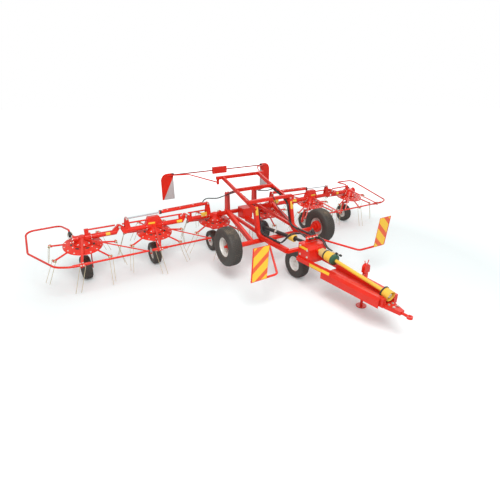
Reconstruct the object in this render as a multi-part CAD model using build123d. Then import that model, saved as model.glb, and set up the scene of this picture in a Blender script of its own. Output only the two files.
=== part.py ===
"""Trailed six-rotor hay tedder in its working position, millimetres, +Z up, drawbar towards -Y.

The model is laid out about the rotor row: X = 0 is the machine's middle, Y = 0 the rotor row and
Z = 0 the ground. Left is +X, as seen from the tractor seat. Each piece is moved by ROW_Y on export,
so that the origin lies on the ground under the middle of the whole machine.
"""

import os
from math import cos, pi, radians, sin

from build123d import *

os.makedirs("parts", exist_ok=True)

# Rotor row
ROTOR_PITCH = 1300
ROTOR_COUNT = 6
ROTOR_TILT = radians(12)
DISC_Z = 720
DISC_RADIUS = 330
DISC_THICKNESS = 7
DISC_RIM = -26
HUB_RADIUS = 78
HUB_TOP = 40
HUB_FOOT = -32
ARM_COUNT = 7
ARM_RADIUS = 15
ARM_ROOT = 165
ARM_TIP = 575
ARM_DROOP = 76
TINE_TIP = 700
TINE_DROP = 545
TINE_TRAIL = 110
TINE_WIRE = 9
COIL_RADIUS = 21
COIL_LENGTH = 36
LUG_THICKNESS = 22

# Beams, hinges and gear housings
BEAM_Z = 830
BEAM_RADIUS = 45
HINGE_Z = 930
HINGE_GAP = 60
HINGE_PIN = 15
HINGE_EYE = 36
LUG_HALF = 30
CHEEK_GAP = 6
CHEEK = 14
LINK_Z = 962
LINK_RADIUS = 15
HOUSING_RADIUS = 150
HOUSING_TOP = 168
HOUSING_BARREL = 54
HOUSING_FLANGE = 72
HOUSING_HALF = 150
LEG_RADIUS = 32
FIT = 0.3

# Rotor support wheels
WHEEL_Y = 120
WHEEL_RADIUS = 220
WHEEL_WIDTH = 170
WHEEL_RIM = 112
WHEEL_HUB = 34
WHEEL_AXLE = 14
WHEEL_BLADE = 14
WHEEL_SIDES = 20

# Guard tubes
GUARD_Y = -800
GUARD_Z = 665
GUARD_RADIUS = 17
GUARD_SLEEVE = 24
GUARD_FOOT = 160
GUARD_TAIL = (155, 190, 845)
STAY_Y = -60

# Fold cylinders
BARREL_X = 800
BARREL_Z = 1100
BARREL_RADIUS = 32
BARREL_LENGTH = 1020
EYE_X = 2450
EYE_Z = 1050
ROD_RADIUS = 15
CYLINDER_PIN = 12
CYLINDER_LUG = 40

# Chassis
RAIL_X = 400
RAIL_WIDTH = 70
RAIL_DEPTH = 80
RAIL_Z = 730
RAIL_FRONT = -2160
POST_Y = -1190
POST_TOP = 1265
POST_FOOT = -1300
LIFT_X = 430
LIFT_TOP = 1585
LIFT_HALF = 570
TIE_Y = -550
TIE_Z = 1430
CROSS_HALF = 500
CROSS_Z = 1325
TOWER_X = 334
TOWER_TOP = 1275
TOWER_PLATE = 12

# Transport axle
AXLE_PIVOT = (-410, 970)
AXLE_TUBE = (-1330, 630)
TRANSPORT_HUB = (-1350, 669)
TRANSPORT_X = 1070
TRANSPORT_RADIUS = 355
TRANSPORT_WIDTH = 236
TRANSPORT_RIM = 172
TRANSPORT_SIDES = 28
SWING_X = 550
SWING_WIDTH = 60
PIVOT_PIN = 20
STUB = 25

# Front wheel
FRONT_WHEEL = (80, -1880)
FRONT_RADIUS = 275
FRONT_WIDTH = 190
FRONT_RIM = 138
FRONT_AXLE = 17
FRONT_SIDES = 24

# Headstock and drawbar
HEAD_BACK = -2220
HEAD_FRONT = -2500
HEAD_HALF = 185
HEAD_TOP = 855
SHAFT_Z = 775
DRIVE_BACK = (-700, 680)
DRIVE_FRONT_Z = 803
DRIVE_BELL = 1010
PTO_FRONT = (-3880, 640)
PTO_TUBE = 29
BELL_TILT = radians(12)
BAR_X = 188
BAR_NOSE_X = 118
BAR_TOP = 605
BAR_WIDTH = 64
BAR_DEPTH = 74
NOSE_Y = -4010
NOSE_TOP = 505
NOSE_FOOT = 445
TONGUE_HALF = 90
TONGUE_TIP = 42
TONGUE_LENGTH = 210
TROUGH_BACK = -2840
TROUGH_FRONT = -3960
TROUGH_Z = 535
SKIRT_FOLD = 560
SKIRT_FOOT = 450
EYE_Y = -4340
TOW_Z = 458
TOW_RING = 40
TOW_BORE = 20

# Parking jack
JACK_X = 304
JACK_Y = -3280
JACK_TUBE = 30
JACK_LEG = 22
JACK_FOOT = 85
JACK_HEAD = 58
JACK_TOP = 690
SLEEVE_FOOT = 380
SLEEVE_TOP = 600

# Lights and warning boards
LIGHT_Y = 960
LIGHT_Z = 1545
LIGHT_TUBE = 12
LIGHT_BOX = (350, 60, 150)
LIGHT_ELBOW = (860, 700)
BOARD_REAR_X = 1260
BOARD_X = 1295
BOARD_Y = -2687
BOARD_Z = 631
BOARD_WIDTH = 282
BOARD_HEIGHT = 564
BOARD_LEAN = 6
BOARD_TUBE = 18
BOARD_ROOT_Y = -1640
BOARD_ELBOW = (896, -2600)
SHEET = 4

# Distance from the rotor row forward to the middle of the whole length
ROW_Y = -(EYE_Y - TOW_RING + LIGHT_Y + LIGHT_BOX[1] / 2) / 2

BASE = (Align.CENTER, Align.CENTER, Align.MIN)

# columns: side name, sign of X
SIDES = (("right", -1), ("left", 1))


def rod(start, end, radius):
    """Round bar from one point to another."""
    start, end = Vector(*start), Vector(*end)
    axis = end - start
    return Plane(origin=start, z_dir=axis) * Cylinder(radius, axis.length, align=BASE)


def bar(start, end, width, depth, across=(1, 0, 0)):
    """Rectangular bar from one point to another, its width along the given direction."""
    start, end, across = Vector(*start), Vector(*end), Vector(*across)
    axis = end - start
    across = across - axis * (across.dot(axis) / axis.dot(axis))
    plane = Plane(origin=start, x_dir=across, z_dir=axis)
    return plane * Box(width, depth, axis.length, align=BASE)


def bent_tube(points, radius, bend):
    """Round tube along straight runs joined by arcs."""
    path = FilletPolyline(*points, radius=bend)
    return sweep(Plane(origin=path @ 0, z_dir=path % 0) * Circle(radius), path=path)


def bent_rail(points, width, depth, bend):
    """Rectangular tube along straight runs in a plane of constant X, joined by arcs."""
    path = FilletPolyline(*points, radius=bend)
    section = Plane(origin=path @ 0, x_dir=(1, 0, 0), z_dir=path % 0) * Rectangle(width, depth)
    return sweep(section, path=path)


def plate_xz(points, y_from, y_to):
    """Plate whose outline is given in X and Z, between two values of Y."""
    outline = Plane.XZ * make_face(Polyline(*points, close=True))
    return Pos(0, y_to, 0) * extrude(outline, y_to - y_from)


def plate_yz(points, x_from, x_to):
    """Plate whose outline is given in Y and Z, between two values of X."""
    outline = Plane.YZ * make_face(Polyline(*points, close=True))
    return Pos(x_from, 0, 0) * extrude(outline, x_to - x_from)


def plate_beside(points, side, near, far):
    """Plate whose outline is given in Y and Z, on one side between two distances from the middle."""
    return plate_yz(points, *sorted((side * near, side * far)))


def turned(profile):
    """Body of revolution about Z from radius and height pairs."""
    return revolve(Plane.XZ * make_face(Polyline(*profile, close=True)), Axis.Z)


def faceted(profile, sides):
    """Flat-sided body about Z from a closed run of radius and height pairs, radii to the flats."""
    corner = cos(pi / sides)
    turns = [(step + 0.5) * 2 * pi / sides for step in range(sides)]
    rings = [
        [Vector(radius / corner * cos(turn), radius / corner * sin(turn), z) for turn in turns]
        for radius, z in profile
    ]
    faces = [
        Face(Wire.make_polygon((here[k - 1], here[k], there[k], there[k - 1])))
        for here, there in zip(rings, rings[1:] + rings[:1]) for k in range(sides)
    ]
    return Solid(Shell(faces))


def rotor_plane(x):
    """Plane of a rotor disc, its Z along the rotor's axis, leaning forwards."""
    return Plane(origin=(x, 0, DISC_Z), x_dir=(1, 0, 0), z_dir=(0, -sin(ROTOR_TILT), cos(ROTOR_TILT)))


def inboard(x):
    """Direction along X towards the machine's middle."""
    return -1 if x > 0 else 1


def save(name, shape):
    """Writes one piece, with the origin under the machine's middle."""
    export_step(Pos(0, ROW_Y, 0) * shape, f"parts/{name}.step")


# Rotors: cone disc on a hub, tube arms under it
def rotor():
    shoulder = HUB_TOP - 4
    bore = LEG_RADIUS + FIT
    disc = turned(
        (
            (bore, HUB_TOP), (HUB_RADIUS - 10, HUB_TOP), (HUB_RADIUS, shoulder),
            (DISC_RADIUS - 8, DISC_RIM + 14), (DISC_RADIUS, DISC_RIM + 10), (DISC_RADIUS, DISC_RIM),
            (DISC_RADIUS - DISC_THICKNESS, DISC_RIM), (DISC_RADIUS - 12, DISC_RIM + 6),
            (HUB_RADIUS + 12, shoulder - 2 * DISC_THICKNESS), (HUB_RADIUS, HUB_FOOT), (bore, HUB_FOOT),
        )
    )
    arm = rod((ARM_ROOT, 0, -2), (ARM_TIP - 30, 0, -ARM_DROOP), ARM_RADIUS)
    arm += Pos(ARM_TIP - 18, 0, -ARM_DROOP - 2) * Box(60, LUG_THICKNESS, 34)
    for turn in range(ARM_COUNT):
        disc += Rot(0, 0, turn * 360 / ARM_COUNT) * arm
    return disc


# Tines: one coil each side of every arm's lug, with a wire trailing down to the swath
def tines(spin):
    coil_z = -ARM_DROOP - 2
    coil_x = ARM_TIP - 8
    pair = []
    for side in (-1, 1):
        face = side * LUG_THICKNESS / 2
        coil = Plane(origin=(coil_x, face, coil_z), z_dir=(0, side, 0)) * extrude(
            RegularPolygon(COIL_RADIUS, 8), COIL_LENGTH
        )
        y = face + side * (COIL_LENGTH - TINE_WIRE / 2)
        reach = TINE_TIP - (16 if side == spin else 0)
        tip = (reach, y - spin * TINE_TRAIL, -TINE_DROP)
        wire = bar((coil_x + 14, y, coil_z - 4), tip, TINE_WIRE, TINE_WIRE)
        pair.append(coil + wire)
    return [
        Rot(0, 0, turn * 360 / ARM_COUNT) * tine for turn in range(ARM_COUNT) for tine in pair
    ]


# Gear housing, leg and wheel bracket of one rotor
def rotor_unit(x):
    place = rotor_plane(x)
    bell = turned(
        (
            (0, 46), (96, 46), (HOUSING_RADIUS, 31), (HOUSING_RADIUS + 3, 36), (110, 62), (84, 84),
            (64, 120), (58, HOUSING_TOP - 8), (0, HOUSING_TOP),
        )
    )
    unit = place * bell + place * Pos(0, 0, -190) * Cylinder(LEG_RADIUS, 250, align=BASE)
    unit += rod((x - HOUSING_HALF, 0, BEAM_Z), (x + HOUSING_HALF, 0, BEAM_Z), HOUSING_BARREL)
    for end in (-1, 1):
        unit += rod(
            (x + end * (HOUSING_HALF - 18), 0, BEAM_Z), (x + end * HOUSING_HALF, 0, BEAM_Z),
            HOUSING_FLANGE,
        )
    side = inboard(x)
    blade_x = x + side * (WHEEL_WIDTH / 2 + 24 + WHEEL_BLADE / 2)
    foot_y, foot_z, foot_top = 40, 505, 537
    unit += Pos((x + blade_x) / 2 - side * 22, foot_y, (foot_z + foot_top) / 2) * Box(
        abs(blade_x - x) + 44 + WHEEL_BLADE, 84, foot_top - foot_z
    )
    unit += bar((blade_x, foot_y, foot_top), (blade_x, WHEEL_Y, WHEEL_RADIUS), WHEEL_BLADE, 64)
    unit += rod(
        (blade_x - side * WHEEL_BLADE / 2, WHEEL_Y, WHEEL_RADIUS),
        (blade_x + side * WHEEL_BLADE / 2, WHEEL_Y, WHEEL_RADIUS), WHEEL_HUB + 4,
    )
    unit += rod(
        (blade_x, WHEEL_Y, WHEEL_RADIUS), (x - side * (WHEEL_WIDTH / 2 + 6), WHEEL_Y, WHEEL_RADIUS),
        WHEEL_AXLE,
    )
    return unit


# Outside of a tyre from one bead to the other, and the dished rim from there back
def tyre_profile(radius, width, rim):
    half, wall = width / 2, (rim + radius) / 2
    return [
        (rim, -half * 0.72), (wall, -half), (radius - 14, -half * 0.88), (radius, -half * 0.45),
        (radius, half * 0.45), (radius - 14, half * 0.88), (wall, half), (rim, half * 0.72),
    ]


def rim_profile(rim, width, hub, bore):
    edge, boss, web = width * 0.36, width * 0.29, width * 0.1
    return [
        (rim, edge), (rim - 12, edge), (rim - 24, web), (hub, web), (hub, boss), (bore, boss),
        (bore, -boss), (hub, -boss), (hub, -web), (rim - 24, -web), (rim - 12, -edge), (rim, -edge),
    ]


def across_x(centre, shape):
    """Puts a shape made about Z onto a wheel axle along X."""
    return Plane(origin=centre, x_dir=(0, 1, 0), z_dir=(1, 0, 0)) * shape


def rotor_wheel(x):
    tyre = tyre_profile(WHEEL_RADIUS, WHEEL_WIDTH, WHEEL_RIM)
    rim = rim_profile(WHEEL_RIM, WHEEL_WIDTH, WHEEL_HUB, WHEEL_AXLE + FIT)
    return across_x((x, WHEEL_Y, WHEEL_RADIUS), faceted(tyre + rim[1:-1], WHEEL_SIDES))


# Hinge between two beams: cheeks with the pin on the inner one, a lug on the outer one
def hinge_cheeks(x, side):
    reach = HINGE_GAP + 80
    outline = (
        (x - side * reach, BEAM_Z - 38), (x - side * HINGE_GAP, BEAM_Z - 38),
        (x - side * 20, HINGE_Z - HINGE_EYE * 0.9), (x + side * 22, HINGE_Z - HINGE_EYE * 0.8),
        (x + side * HINGE_EYE, HINGE_Z), (x + side * 20, HINGE_Z + 30), (x - side * 20, HINGE_Z + 30),
        (x - side * (reach - 30), BEAM_Z + 60),
    )
    inner = LUG_HALF + CHEEK_GAP
    cheeks = plate_xz(outline, inner, inner + CHEEK) + plate_xz(outline, -inner - CHEEK, -inner)
    pin = inner + CHEEK + 8
    return cheeks + rod((x, -pin, HINGE_Z), (x, pin, HINGE_Z), HINGE_PIN)


def hinge_lug(x, side):
    outline = (
        (x + side * 140, BEAM_Z - 30), (x + side * HINGE_GAP, BEAM_Z - 30), (x - side * 20, HINGE_Z - 18),
        (x + side * 18, HINGE_Z + 30), (x + side * 110, BEAM_Z + 55),
    )
    lug = plate_xz(outline, -LUG_HALF, LUG_HALF)
    lug += rod((x, -LUG_HALF, HINGE_Z), (x, LUG_HALF, HINGE_Z), HINGE_EYE)
    return lug - rod((x, -LUG_HALF - 5, HINGE_Z), (x, LUG_HALF + 5, HINGE_Z), HINGE_PIN + FIT)


def beam(x_from, x_to):
    return rod((x_from, 0, BEAM_Z), (x_to, 0, BEAM_Z), BEAM_RADIUS)


def link(x_from, x_to):
    return rod((x_from, 0, LINK_Z), (x_to, 0, LINK_Z), LINK_RADIUS)


def link_post(x):
    return bar((x, 0, BEAM_Z), (x, 0, LINK_Z), 40, 24)


# Stays of a guard tube ahead of the rotors: a flat one to a sleeve on it, a brace to its inner end
def guard_stays(x, inner_end):
    side = -inboard(x)
    foot_x = x + side * GUARD_FOOT
    stays = bar((x, STAY_Y, BEAM_Z + 30), (foot_x, GUARD_Y, GUARD_Z), 40, 10)
    stays += bar((x, STAY_Y, BEAM_Z + 10), (inner_end + side * 20, GUARD_Y, GUARD_Z), 24, 10)
    stays += rod((x + side * 40, GUARD_Y, GUARD_Z), (x + side * 300, GUARD_Y, GUARD_Z), GUARD_SLEEVE)
    return stays + Pos(foot_x, GUARD_Y, GUARD_Z) * Box(64, 58, 58)


# Fork cheeks that hold a cylinder pin, standing on a beam
def cylinder_cheeks(x, z, pin):
    outline = (
        (x - 60, BEAM_Z + 30), (x + 60, BEAM_Z + 30), (x + 28, z), (x + 14, z + 26),
        (x - 14, z + 26), (x - 28, z),
    )
    cheeks = plate_xz(outline, 26, 38) + plate_xz(outline, -38, -26)
    if pin:
        cheeks += rod((x, -46, z), (x, 46, z), CYLINDER_PIN)
    return cheeks


def build_center():
    end = ROTOR_PITCH - HINGE_GAP
    center = beam(-end, end)
    for x in (-ROTOR_PITCH / 2, ROTOR_PITCH / 2):
        center += rotor_unit(x)
    for _, side in SIDES:
        hinge_x = side * ROTOR_PITCH
        center += hinge_cheeks(hinge_x, side)
        center += link(side * (BARREL_X - 30), side * (ROTOR_PITCH - HINGE_GAP - 5))
        center += link_post(side * (BARREL_X - 10)) + link_post(side * (ROTOR_PITCH - 120))
        center += cylinder_cheeks(side * BARREL_X, BARREL_Z, True)
        tower = (
            (-62, BEAM_Z), (62, BEAM_Z), (48, TOWER_TOP - 35), (20, TOWER_TOP), (-30, TOWER_TOP),
            (-50, TOWER_TOP - 35),
        )
        for near in (TOWER_X - 34, TOWER_X + 22):
            center += plate_beside(tower, side, near, near + TOWER_PLATE)
        pivot_y, pivot_z = AXLE_PIVOT
        cheek = (
            (0, BEAM_Z - 20), (0, BEAM_Z + 42), (pivot_y + 10, pivot_z + 40),
            (pivot_y - 36, pivot_z + 26), (pivot_y - 36, pivot_z - 30), (pivot_y + 40, pivot_z - 60),
        )
        for near in (SWING_X - 62, SWING_X + 50):
            center += plate_beside(cheek, side, near, near + TOWER_PLATE)
        center += rod(
            (side * (SWING_X - 66), pivot_y, pivot_z), (side * (SWING_X + 66), pivot_y, pivot_z),
            PIVOT_PIN,
        )
    return center


def build_inner_wing(side):
    near, far = ROTOR_PITCH + HINGE_GAP, 2 * ROTOR_PITCH - HINGE_GAP
    x = side * 1.5 * ROTOR_PITCH
    wing = beam(side * near, side * far) + rotor_unit(x)
    wing += hinge_lug(side * ROTOR_PITCH, side) + hinge_cheeks(side * 2 * ROTOR_PITCH, side)
    wing += link(side * (near + 5), side * (far - 5))
    wing += link_post(side * (near + 60)) + link_post(side * (far - 60))
    cover = ((x - 170, BEAM_Z + 46), (x + 170, BEAM_Z + 46), (x + 105, 1018), (x - 105, 1018))
    wing += plate_xz(cover, -46, 46)
    return wing + cylinder_cheeks(side * EYE_X, EYE_Z, False)


def build_outer_wing(side):
    near = 2 * ROTOR_PITCH + HINGE_GAP
    x = side * 2.5 * ROTOR_PITCH
    wing = beam(side * near, x) + rotor_unit(x)
    wing += hinge_lug(side * 2 * ROTOR_PITCH, side)
    return wing + link(side * (near + 5), x - side * 60) + bar(
        (x - side * 90, 0, BEAM_Z), (x - side * 90, 0, LINK_Z + 20), 70, 40
    )


def build_inner_guard(side, wing):
    x = side * 1.5 * ROTOR_PITCH
    inner_end = side * (ROTOR_PITCH - 170)
    guard = rod((inner_end, GUARD_Y, GUARD_Z), (x + side * 320, GUARD_Y, GUARD_Z), GUARD_RADIUS)
    return guard + guard_stays(x, inner_end) - wing


# Outer guard: the tube turns round the wing's end and comes back to the gear housing
def build_outer_guard(side, wing):
    x = side * 2.5 * ROTOR_PITCH
    inner_end = side * (2 * ROTOR_PITCH - 280)
    past, tail_y, tail_z = GUARD_TAIL
    tail = Vector(x + side * past, tail_y, tail_z)
    # columns: distance past the rotor, Y, height above the guard, bend at that point
    loop = (
        (350, GUARD_Y, 0, 130), (540, GUARD_Y + 70, 15, 200), (860, 50, 40, 160),
        (820, 700, 215, 150), (250, 720, 225, 130), (past + 1, tail_y + 100, 257, 80),
    )
    points = [(inner_end, GUARD_Y, GUARD_Z)]
    points += [(x + side * past, y, GUARD_Z + rise) for past, y, rise, _ in loop] + [tail]
    guard = bent_tube(points, GUARD_RADIUS, [bend for *_, bend in loop])
    guard += bar((x + side * 60, 20, BEAM_Z + 20), tail, 30, 12) + Pos(*tail) * Box(50, 50, 50)
    return guard + guard_stays(x, inner_end) - wing


# Fold cylinder lying from the centre's cheeks out to the inner wing's cheeks
def cylinder_line(side):
    pivot, eye = Vector(side * BARREL_X, 0, BARREL_Z), Vector(side * EYE_X, 0, EYE_Z)
    return Plane(origin=pivot, x_dir=(0, 1, 0), z_dir=eye - pivot), (eye - pivot).length


def build_barrel(side):
    line, _ = cylinder_line(side)
    gland = BARREL_LENGTH - 34
    bore = ROD_RADIUS + FIT
    shell = turned(
        (
            (0, 46), (BARREL_RADIUS - 6, 46), (BARREL_RADIUS, 54), (BARREL_RADIUS, gland),
            (BARREL_RADIUS + 6, gland), (BARREL_RADIUS + 6, BARREL_LENGTH),
            (bore, BARREL_LENGTH), (bore, 62), (0, 62),
        )
    )
    lug = Rot(0, 90, 0) * Cylinder(28, CYLINDER_LUG) + Pos(0, 0, 28) * Box(CYLINDER_LUG, 44, 44)
    return line * (shell + lug - Rot(0, 90, 0) * Cylinder(CYLINDER_PIN + FIT, CYLINDER_LUG + 20))


def build_piston_rod(side):
    line, length = cylinder_line(side)
    inner_end = BARREL_LENGTH - 350
    shaft = Pos(0, 0, inner_end) * Cylinder(ROD_RADIUS, length - inner_end - 14, align=BASE)
    eye = Pos(0, 0, length) * Rot(0, 90, 0)
    return line * (
        shaft + eye * Cylinder(24, CYLINDER_LUG) - eye * Cylinder(CYLINDER_PIN + FIT, CYLINDER_LUG + 20)
    )


# Chassis: two posts bent forward into rails, tied across
def build_chassis():
    tie_y, tie_z = POST_FOOT - 130, RAIL_Z - RAIL_DEPTH / 2 - 20
    nose_y = RAIL_FRONT - 30
    chassis = bar((-RAIL_X, tie_y, tie_z), (RAIL_X, tie_y, tie_z), 60, 50, (0, 1, 0))
    chassis += bar((-RAIL_X, nose_y, RAIL_Z - 15), (RAIL_X, nose_y, RAIL_Z - 15), 60, 50, (0, 1, 0))
    for _, side in SIDES:
        x = side * RAIL_X
        chassis += bent_rail(
            ((x, POST_Y, POST_TOP), (x, POST_FOOT, RAIL_Z), (x, nose_y, RAIL_Z)),
            RAIL_WIDTH, RAIL_DEPTH, 130,
        )
        chassis += bar((x, -20, BEAM_Z + 60), (x, POST_FOOT - 5, RAIL_Z + 50), 40, 60)
    return chassis


# Lifting frame: two arms from the posts up over the rotor row
def build_lift():
    lift = bar((-LIFT_HALF, 0, LIFT_TOP), (LIFT_HALF, 0, LIFT_TOP), 60, 60, (0, 1, 0))
    foot_y, foot_z = POST_Y - 60, POST_TOP - 60
    for _, side in SIDES:
        x = side * LIFT_X
        lift += bar((x, foot_y, foot_z), (x, 0, LIFT_TOP), 36, 70)
        lift += bar((side * TOWER_X, TIE_Y, TIE_Z), (side * TOWER_X, -20, TOWER_TOP - 40), 40, 50)
        lift += Pos(side * (LIFT_HALF - 30), 0, LIFT_TOP - 75) * Box(50, 14, 110)
    lift += bar((-LIFT_X, TIE_Y, TIE_Z), (LIFT_X, TIE_Y, TIE_Z), 60, 60, (0, 1, 0))
    cross_y = POST_Y + 90
    return lift + bar(
        (-CROSS_HALF, cross_y, CROSS_Z), (CROSS_HALF, cross_y, CROSS_Z), 60, 60, (0, 1, 0)
    )


# Main gearbox hung on the centre beam, its input neck facing forwards
def build_gearbox():
    body = Pos(0, -170, BEAM_Z) * Box(230, 260, 220)
    body = fillet(body.edges().filter_by(Axis.Z), 30)
    neck_end = (0, DRIVE_BACK[0], DRIVE_BACK[1])
    neck = rod((0, -250, DRIVE_BACK[1] + 20), neck_end, 62)
    return body + neck


# Rear driveshaft in its guard, from the gearbox to the headstock
def build_rear_shaft():
    back, front = Vector(0, *DRIVE_BACK), Vector(0, HEAD_BACK, DRIVE_FRONT_Z)
    length = (front - back).length
    bell = DRIVE_BELL
    guard = turned(
        (
            (0, 0), (52, 0), (92, 60), (104, 190), (84, 200), (40, 215), (36, 230), (36, bell),
            (58, bell + 30), (66, bell + 170), (50, bell + 190), (28, bell + 200), (28, length),
            (0, length),
        )
    )
    return Plane(origin=back, z_dir=front - back) * guard


# Transport axle: a cross tube on two swing arms, with a stub axle each side
def build_transport_axle():
    pivot_y, pivot_z = AXLE_PIVOT
    tube_y, tube_z = AXLE_TUBE
    hub_y, hub_z = TRANSPORT_HUB
    inner = TRANSPORT_X - TRANSPORT_WIDTH / 2 - 30
    axle = rod((-inner, tube_y, tube_z), (inner, tube_y, tube_z), 46)
    for _, side in SIDES:
        x = side * SWING_X
        axle += bar((x, pivot_y, pivot_z), (x, tube_y, tube_z), SWING_WIDTH, 84)
        axle += rod((x - SWING_WIDTH / 2, pivot_y, pivot_z), (x + SWING_WIDTH / 2, pivot_y, pivot_z), 46)
        axle += rod((side * (inner - 30), hub_y, hub_z), (side * (inner + 14), hub_y, hub_z), 74)
        axle += rod((side * inner, hub_y, hub_z), (side * (TRANSPORT_X + 70), hub_y, hub_z), STUB)
        axle -= rod((x - 40, pivot_y, pivot_z), (x + 40, pivot_y, pivot_z), PIVOT_PIN + FIT)
    return axle


def wheel_pair(centre, radius, width, rim, axle, sides):
    """Tyre and dished rim of one wheel, on an axle along X."""
    tyre = across_x(centre, faceted(tyre_profile(radius, width, rim), sides))
    disc = across_x(centre, faceted(rim_profile(rim, width, axle + 34, axle + FIT), sides))
    return tyre, disc


# Front wheel's one-sided fork under the chassis
def build_front_fork():
    x, y = FRONT_WHEEL
    blade_x = x + FRONT_WIDTH / 2 + 28
    fork = bar((blade_x, RAIL_FRONT - 30, RAIL_Z - 41), (blade_x, y, FRONT_RADIUS), 24, 80)
    fork += rod((blade_x + 12, y, FRONT_RADIUS), (blade_x - 14, y, FRONT_RADIUS), 40)
    return fork + rod((blade_x, y, FRONT_RADIUS), (x - 60, y, FRONT_RADIUS), FRONT_AXLE)


def build_headstock():
    profile = (
        (HEAD_BACK, BAR_TOP), (HEAD_FRONT, BAR_TOP), (HEAD_FRONT, HEAD_TOP - 65),
        (HEAD_FRONT + 60, HEAD_TOP - 20), (HEAD_BACK, HEAD_TOP),
    )
    head = plate_yz(profile, -HEAD_HALF, HEAD_HALF)
    return head + rod((0, HEAD_FRONT - 40, SHAFT_Z), (0, HEAD_FRONT, SHAFT_Z), 58)


def rail_x(y):
    """Distance of a drawbar rail from the middle, the two drawing together towards the nose."""
    return BAR_X + (BAR_NOSE_X - BAR_X) * (HEAD_BACK - y) / (HEAD_BACK - NOSE_Y)


# Drawbar: twin rails under the headstock, webs at their ends and a tapered tongue between these
def build_drawbar():
    rail_z = BAR_TOP - BAR_DEPTH / 2
    tongue_back, tongue_tip = NOSE_Y + 130, NOSE_Y - TONGUE_LENGTH
    draw = Pos(0, HEAD_FRONT + 60, rail_z) * Box(2 * BAR_X, 60, BAR_DEPTH - 10)
    for _, side in SIDES:
        draw += bar(
            (side * BAR_X, HEAD_BACK, rail_z), (side * BAR_NOSE_X, NOSE_Y, rail_z), BAR_WIDTH, BAR_DEPTH
        )
        web = Pos(side * BAR_NOSE_X, (tongue_back + NOSE_Y) / 2, BAR_TOP - BAR_DEPTH - 20)
        draw += web * Box(BAR_WIDTH, tongue_back - NOSE_Y, 70)
    plan = make_face(
        Polyline(
            (-TONGUE_HALF, tongue_back), (TONGUE_HALF, tongue_back), (TONGUE_HALF, NOSE_Y),
            (TONGUE_TIP, tongue_tip), (-TONGUE_TIP, tongue_tip), (-TONGUE_HALF, NOSE_Y), close=True,
        )
    )
    side_view = (
        (tongue_back, NOSE_FOOT), (tongue_back, NOSE_TOP), (NOSE_Y, NOSE_TOP), (tongue_tip, TOW_Z + 30),
        (tongue_tip, TOW_Z - 24), (NOSE_Y, NOSE_FOOT),
    )
    draw += extrude(plan, BAR_TOP) & plate_yz(side_view, -TONGUE_HALF, TONGUE_HALF)
    draw += Pos(0, tongue_back - 20, (NOSE_FOOT + NOSE_TOP) / 2) * Box(
        2 * BAR_NOSE_X, 40, NOSE_TOP - NOSE_FOOT
    )
    near, far = rail_x(JACK_Y), JACK_X - JACK_TUBE
    draw += Pos((near + far) / 2, JACK_Y, SKIRT_FOOT - 32) * Box(far - near, 70, 40)
    return draw + Pos(near, JACK_Y, (rail_z + SKIRT_FOOT) / 2 - 26) * Box(50, 70, rail_z - SKIRT_FOOT + 52)


# Folded sheet over the drawbar rails: side skirts, and a trough for the driveshaft between the rails
def drawbar_guard_section(y):
    rail = rail_x(y)
    edge, floor, side = rail - 33, rail - 56, rail + 54
    under = [
        (floor, TROUGH_Z), (edge, BAR_TOP), (side - 20, BAR_TOP), (side, SKIRT_FOLD), (side, SKIRT_FOOT),
    ]
    top = [
        (side + SHEET, SKIRT_FOOT), (side + SHEET, SKIRT_FOLD), (side - 18, BAR_TOP + SHEET),
        (edge - 3, BAR_TOP + SHEET), (floor - 3, TROUGH_Z + SHEET),
    ]
    mirrored = [(-x, z) for x, z in reversed(under)], [(-x, z) for x, z in reversed(top)]
    outline = under + top + mirrored[1] + mirrored[0]
    return make_face(Polyline(*((x, y, z) for x, z in outline), close=True))


def build_drawbar_guard():
    return loft([drawbar_guard_section(y) for y in (TROUGH_BACK, TROUGH_FRONT)], ruled=True)


def build_towing_eye():
    ring = Pos(0, EYE_Y, TOW_Z) * Cylinder(TOW_RING, 34)
    shank = rod((0, NOSE_Y - TONGUE_LENGTH, TOW_Z), (0, EYE_Y + 20, TOW_Z), 21)
    return ring + shank - Pos(0, EYE_Y, TOW_Z) * Cylinder(TOW_BORE, 60)


# Driveshaft guard over the drawbar: ribbed cone, tube and front bell
def build_pto_guard():
    back, front = Vector(0, HEAD_FRONT - 40, SHAFT_Z), Vector(0, *PTO_FRONT)
    length = (front - back).length
    cone = turned(
        (
            (0, 0), (30, 0), (30, 50), (60, 60), (66, 120), (64, 124), (74, 190), (72, 210), (78, 300),
            (84, 310), (84, 370), (60, 385), (PTO_TUBE, 392), (PTO_TUBE, length), (0, length),
        )
    )
    bell = turned(
        (
            (0, 0), (60, 4), (72, 16), (82, 18), (82, 38), (74, 40), (78, 150), (71, 150), (64, 60),
            (30, 60), (30, 130), (0, 130),
        )
    )
    guard = Plane(origin=back, z_dir=front - back) * cone
    mouth = Plane(origin=front + Vector(0, 14, 2), z_dir=(0, -cos(BELL_TILT), -sin(BELL_TILT)))
    return guard + mouth * bell


# Parking jack: a leg with a round foot and a rounded head with two handles, in a square sleeve
def build_jack_tube():
    sleeve = Pos(JACK_X, JACK_Y, SLEEVE_FOOT) * Box(
        2 * JACK_TUBE, 2 * JACK_TUBE, SLEEVE_TOP - SLEEVE_FOOT, align=BASE
    )
    return sleeve - rod((JACK_X, JACK_Y, 0), (JACK_X, JACK_Y, SLEEVE_TOP + 50), JACK_LEG + FIT)


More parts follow.
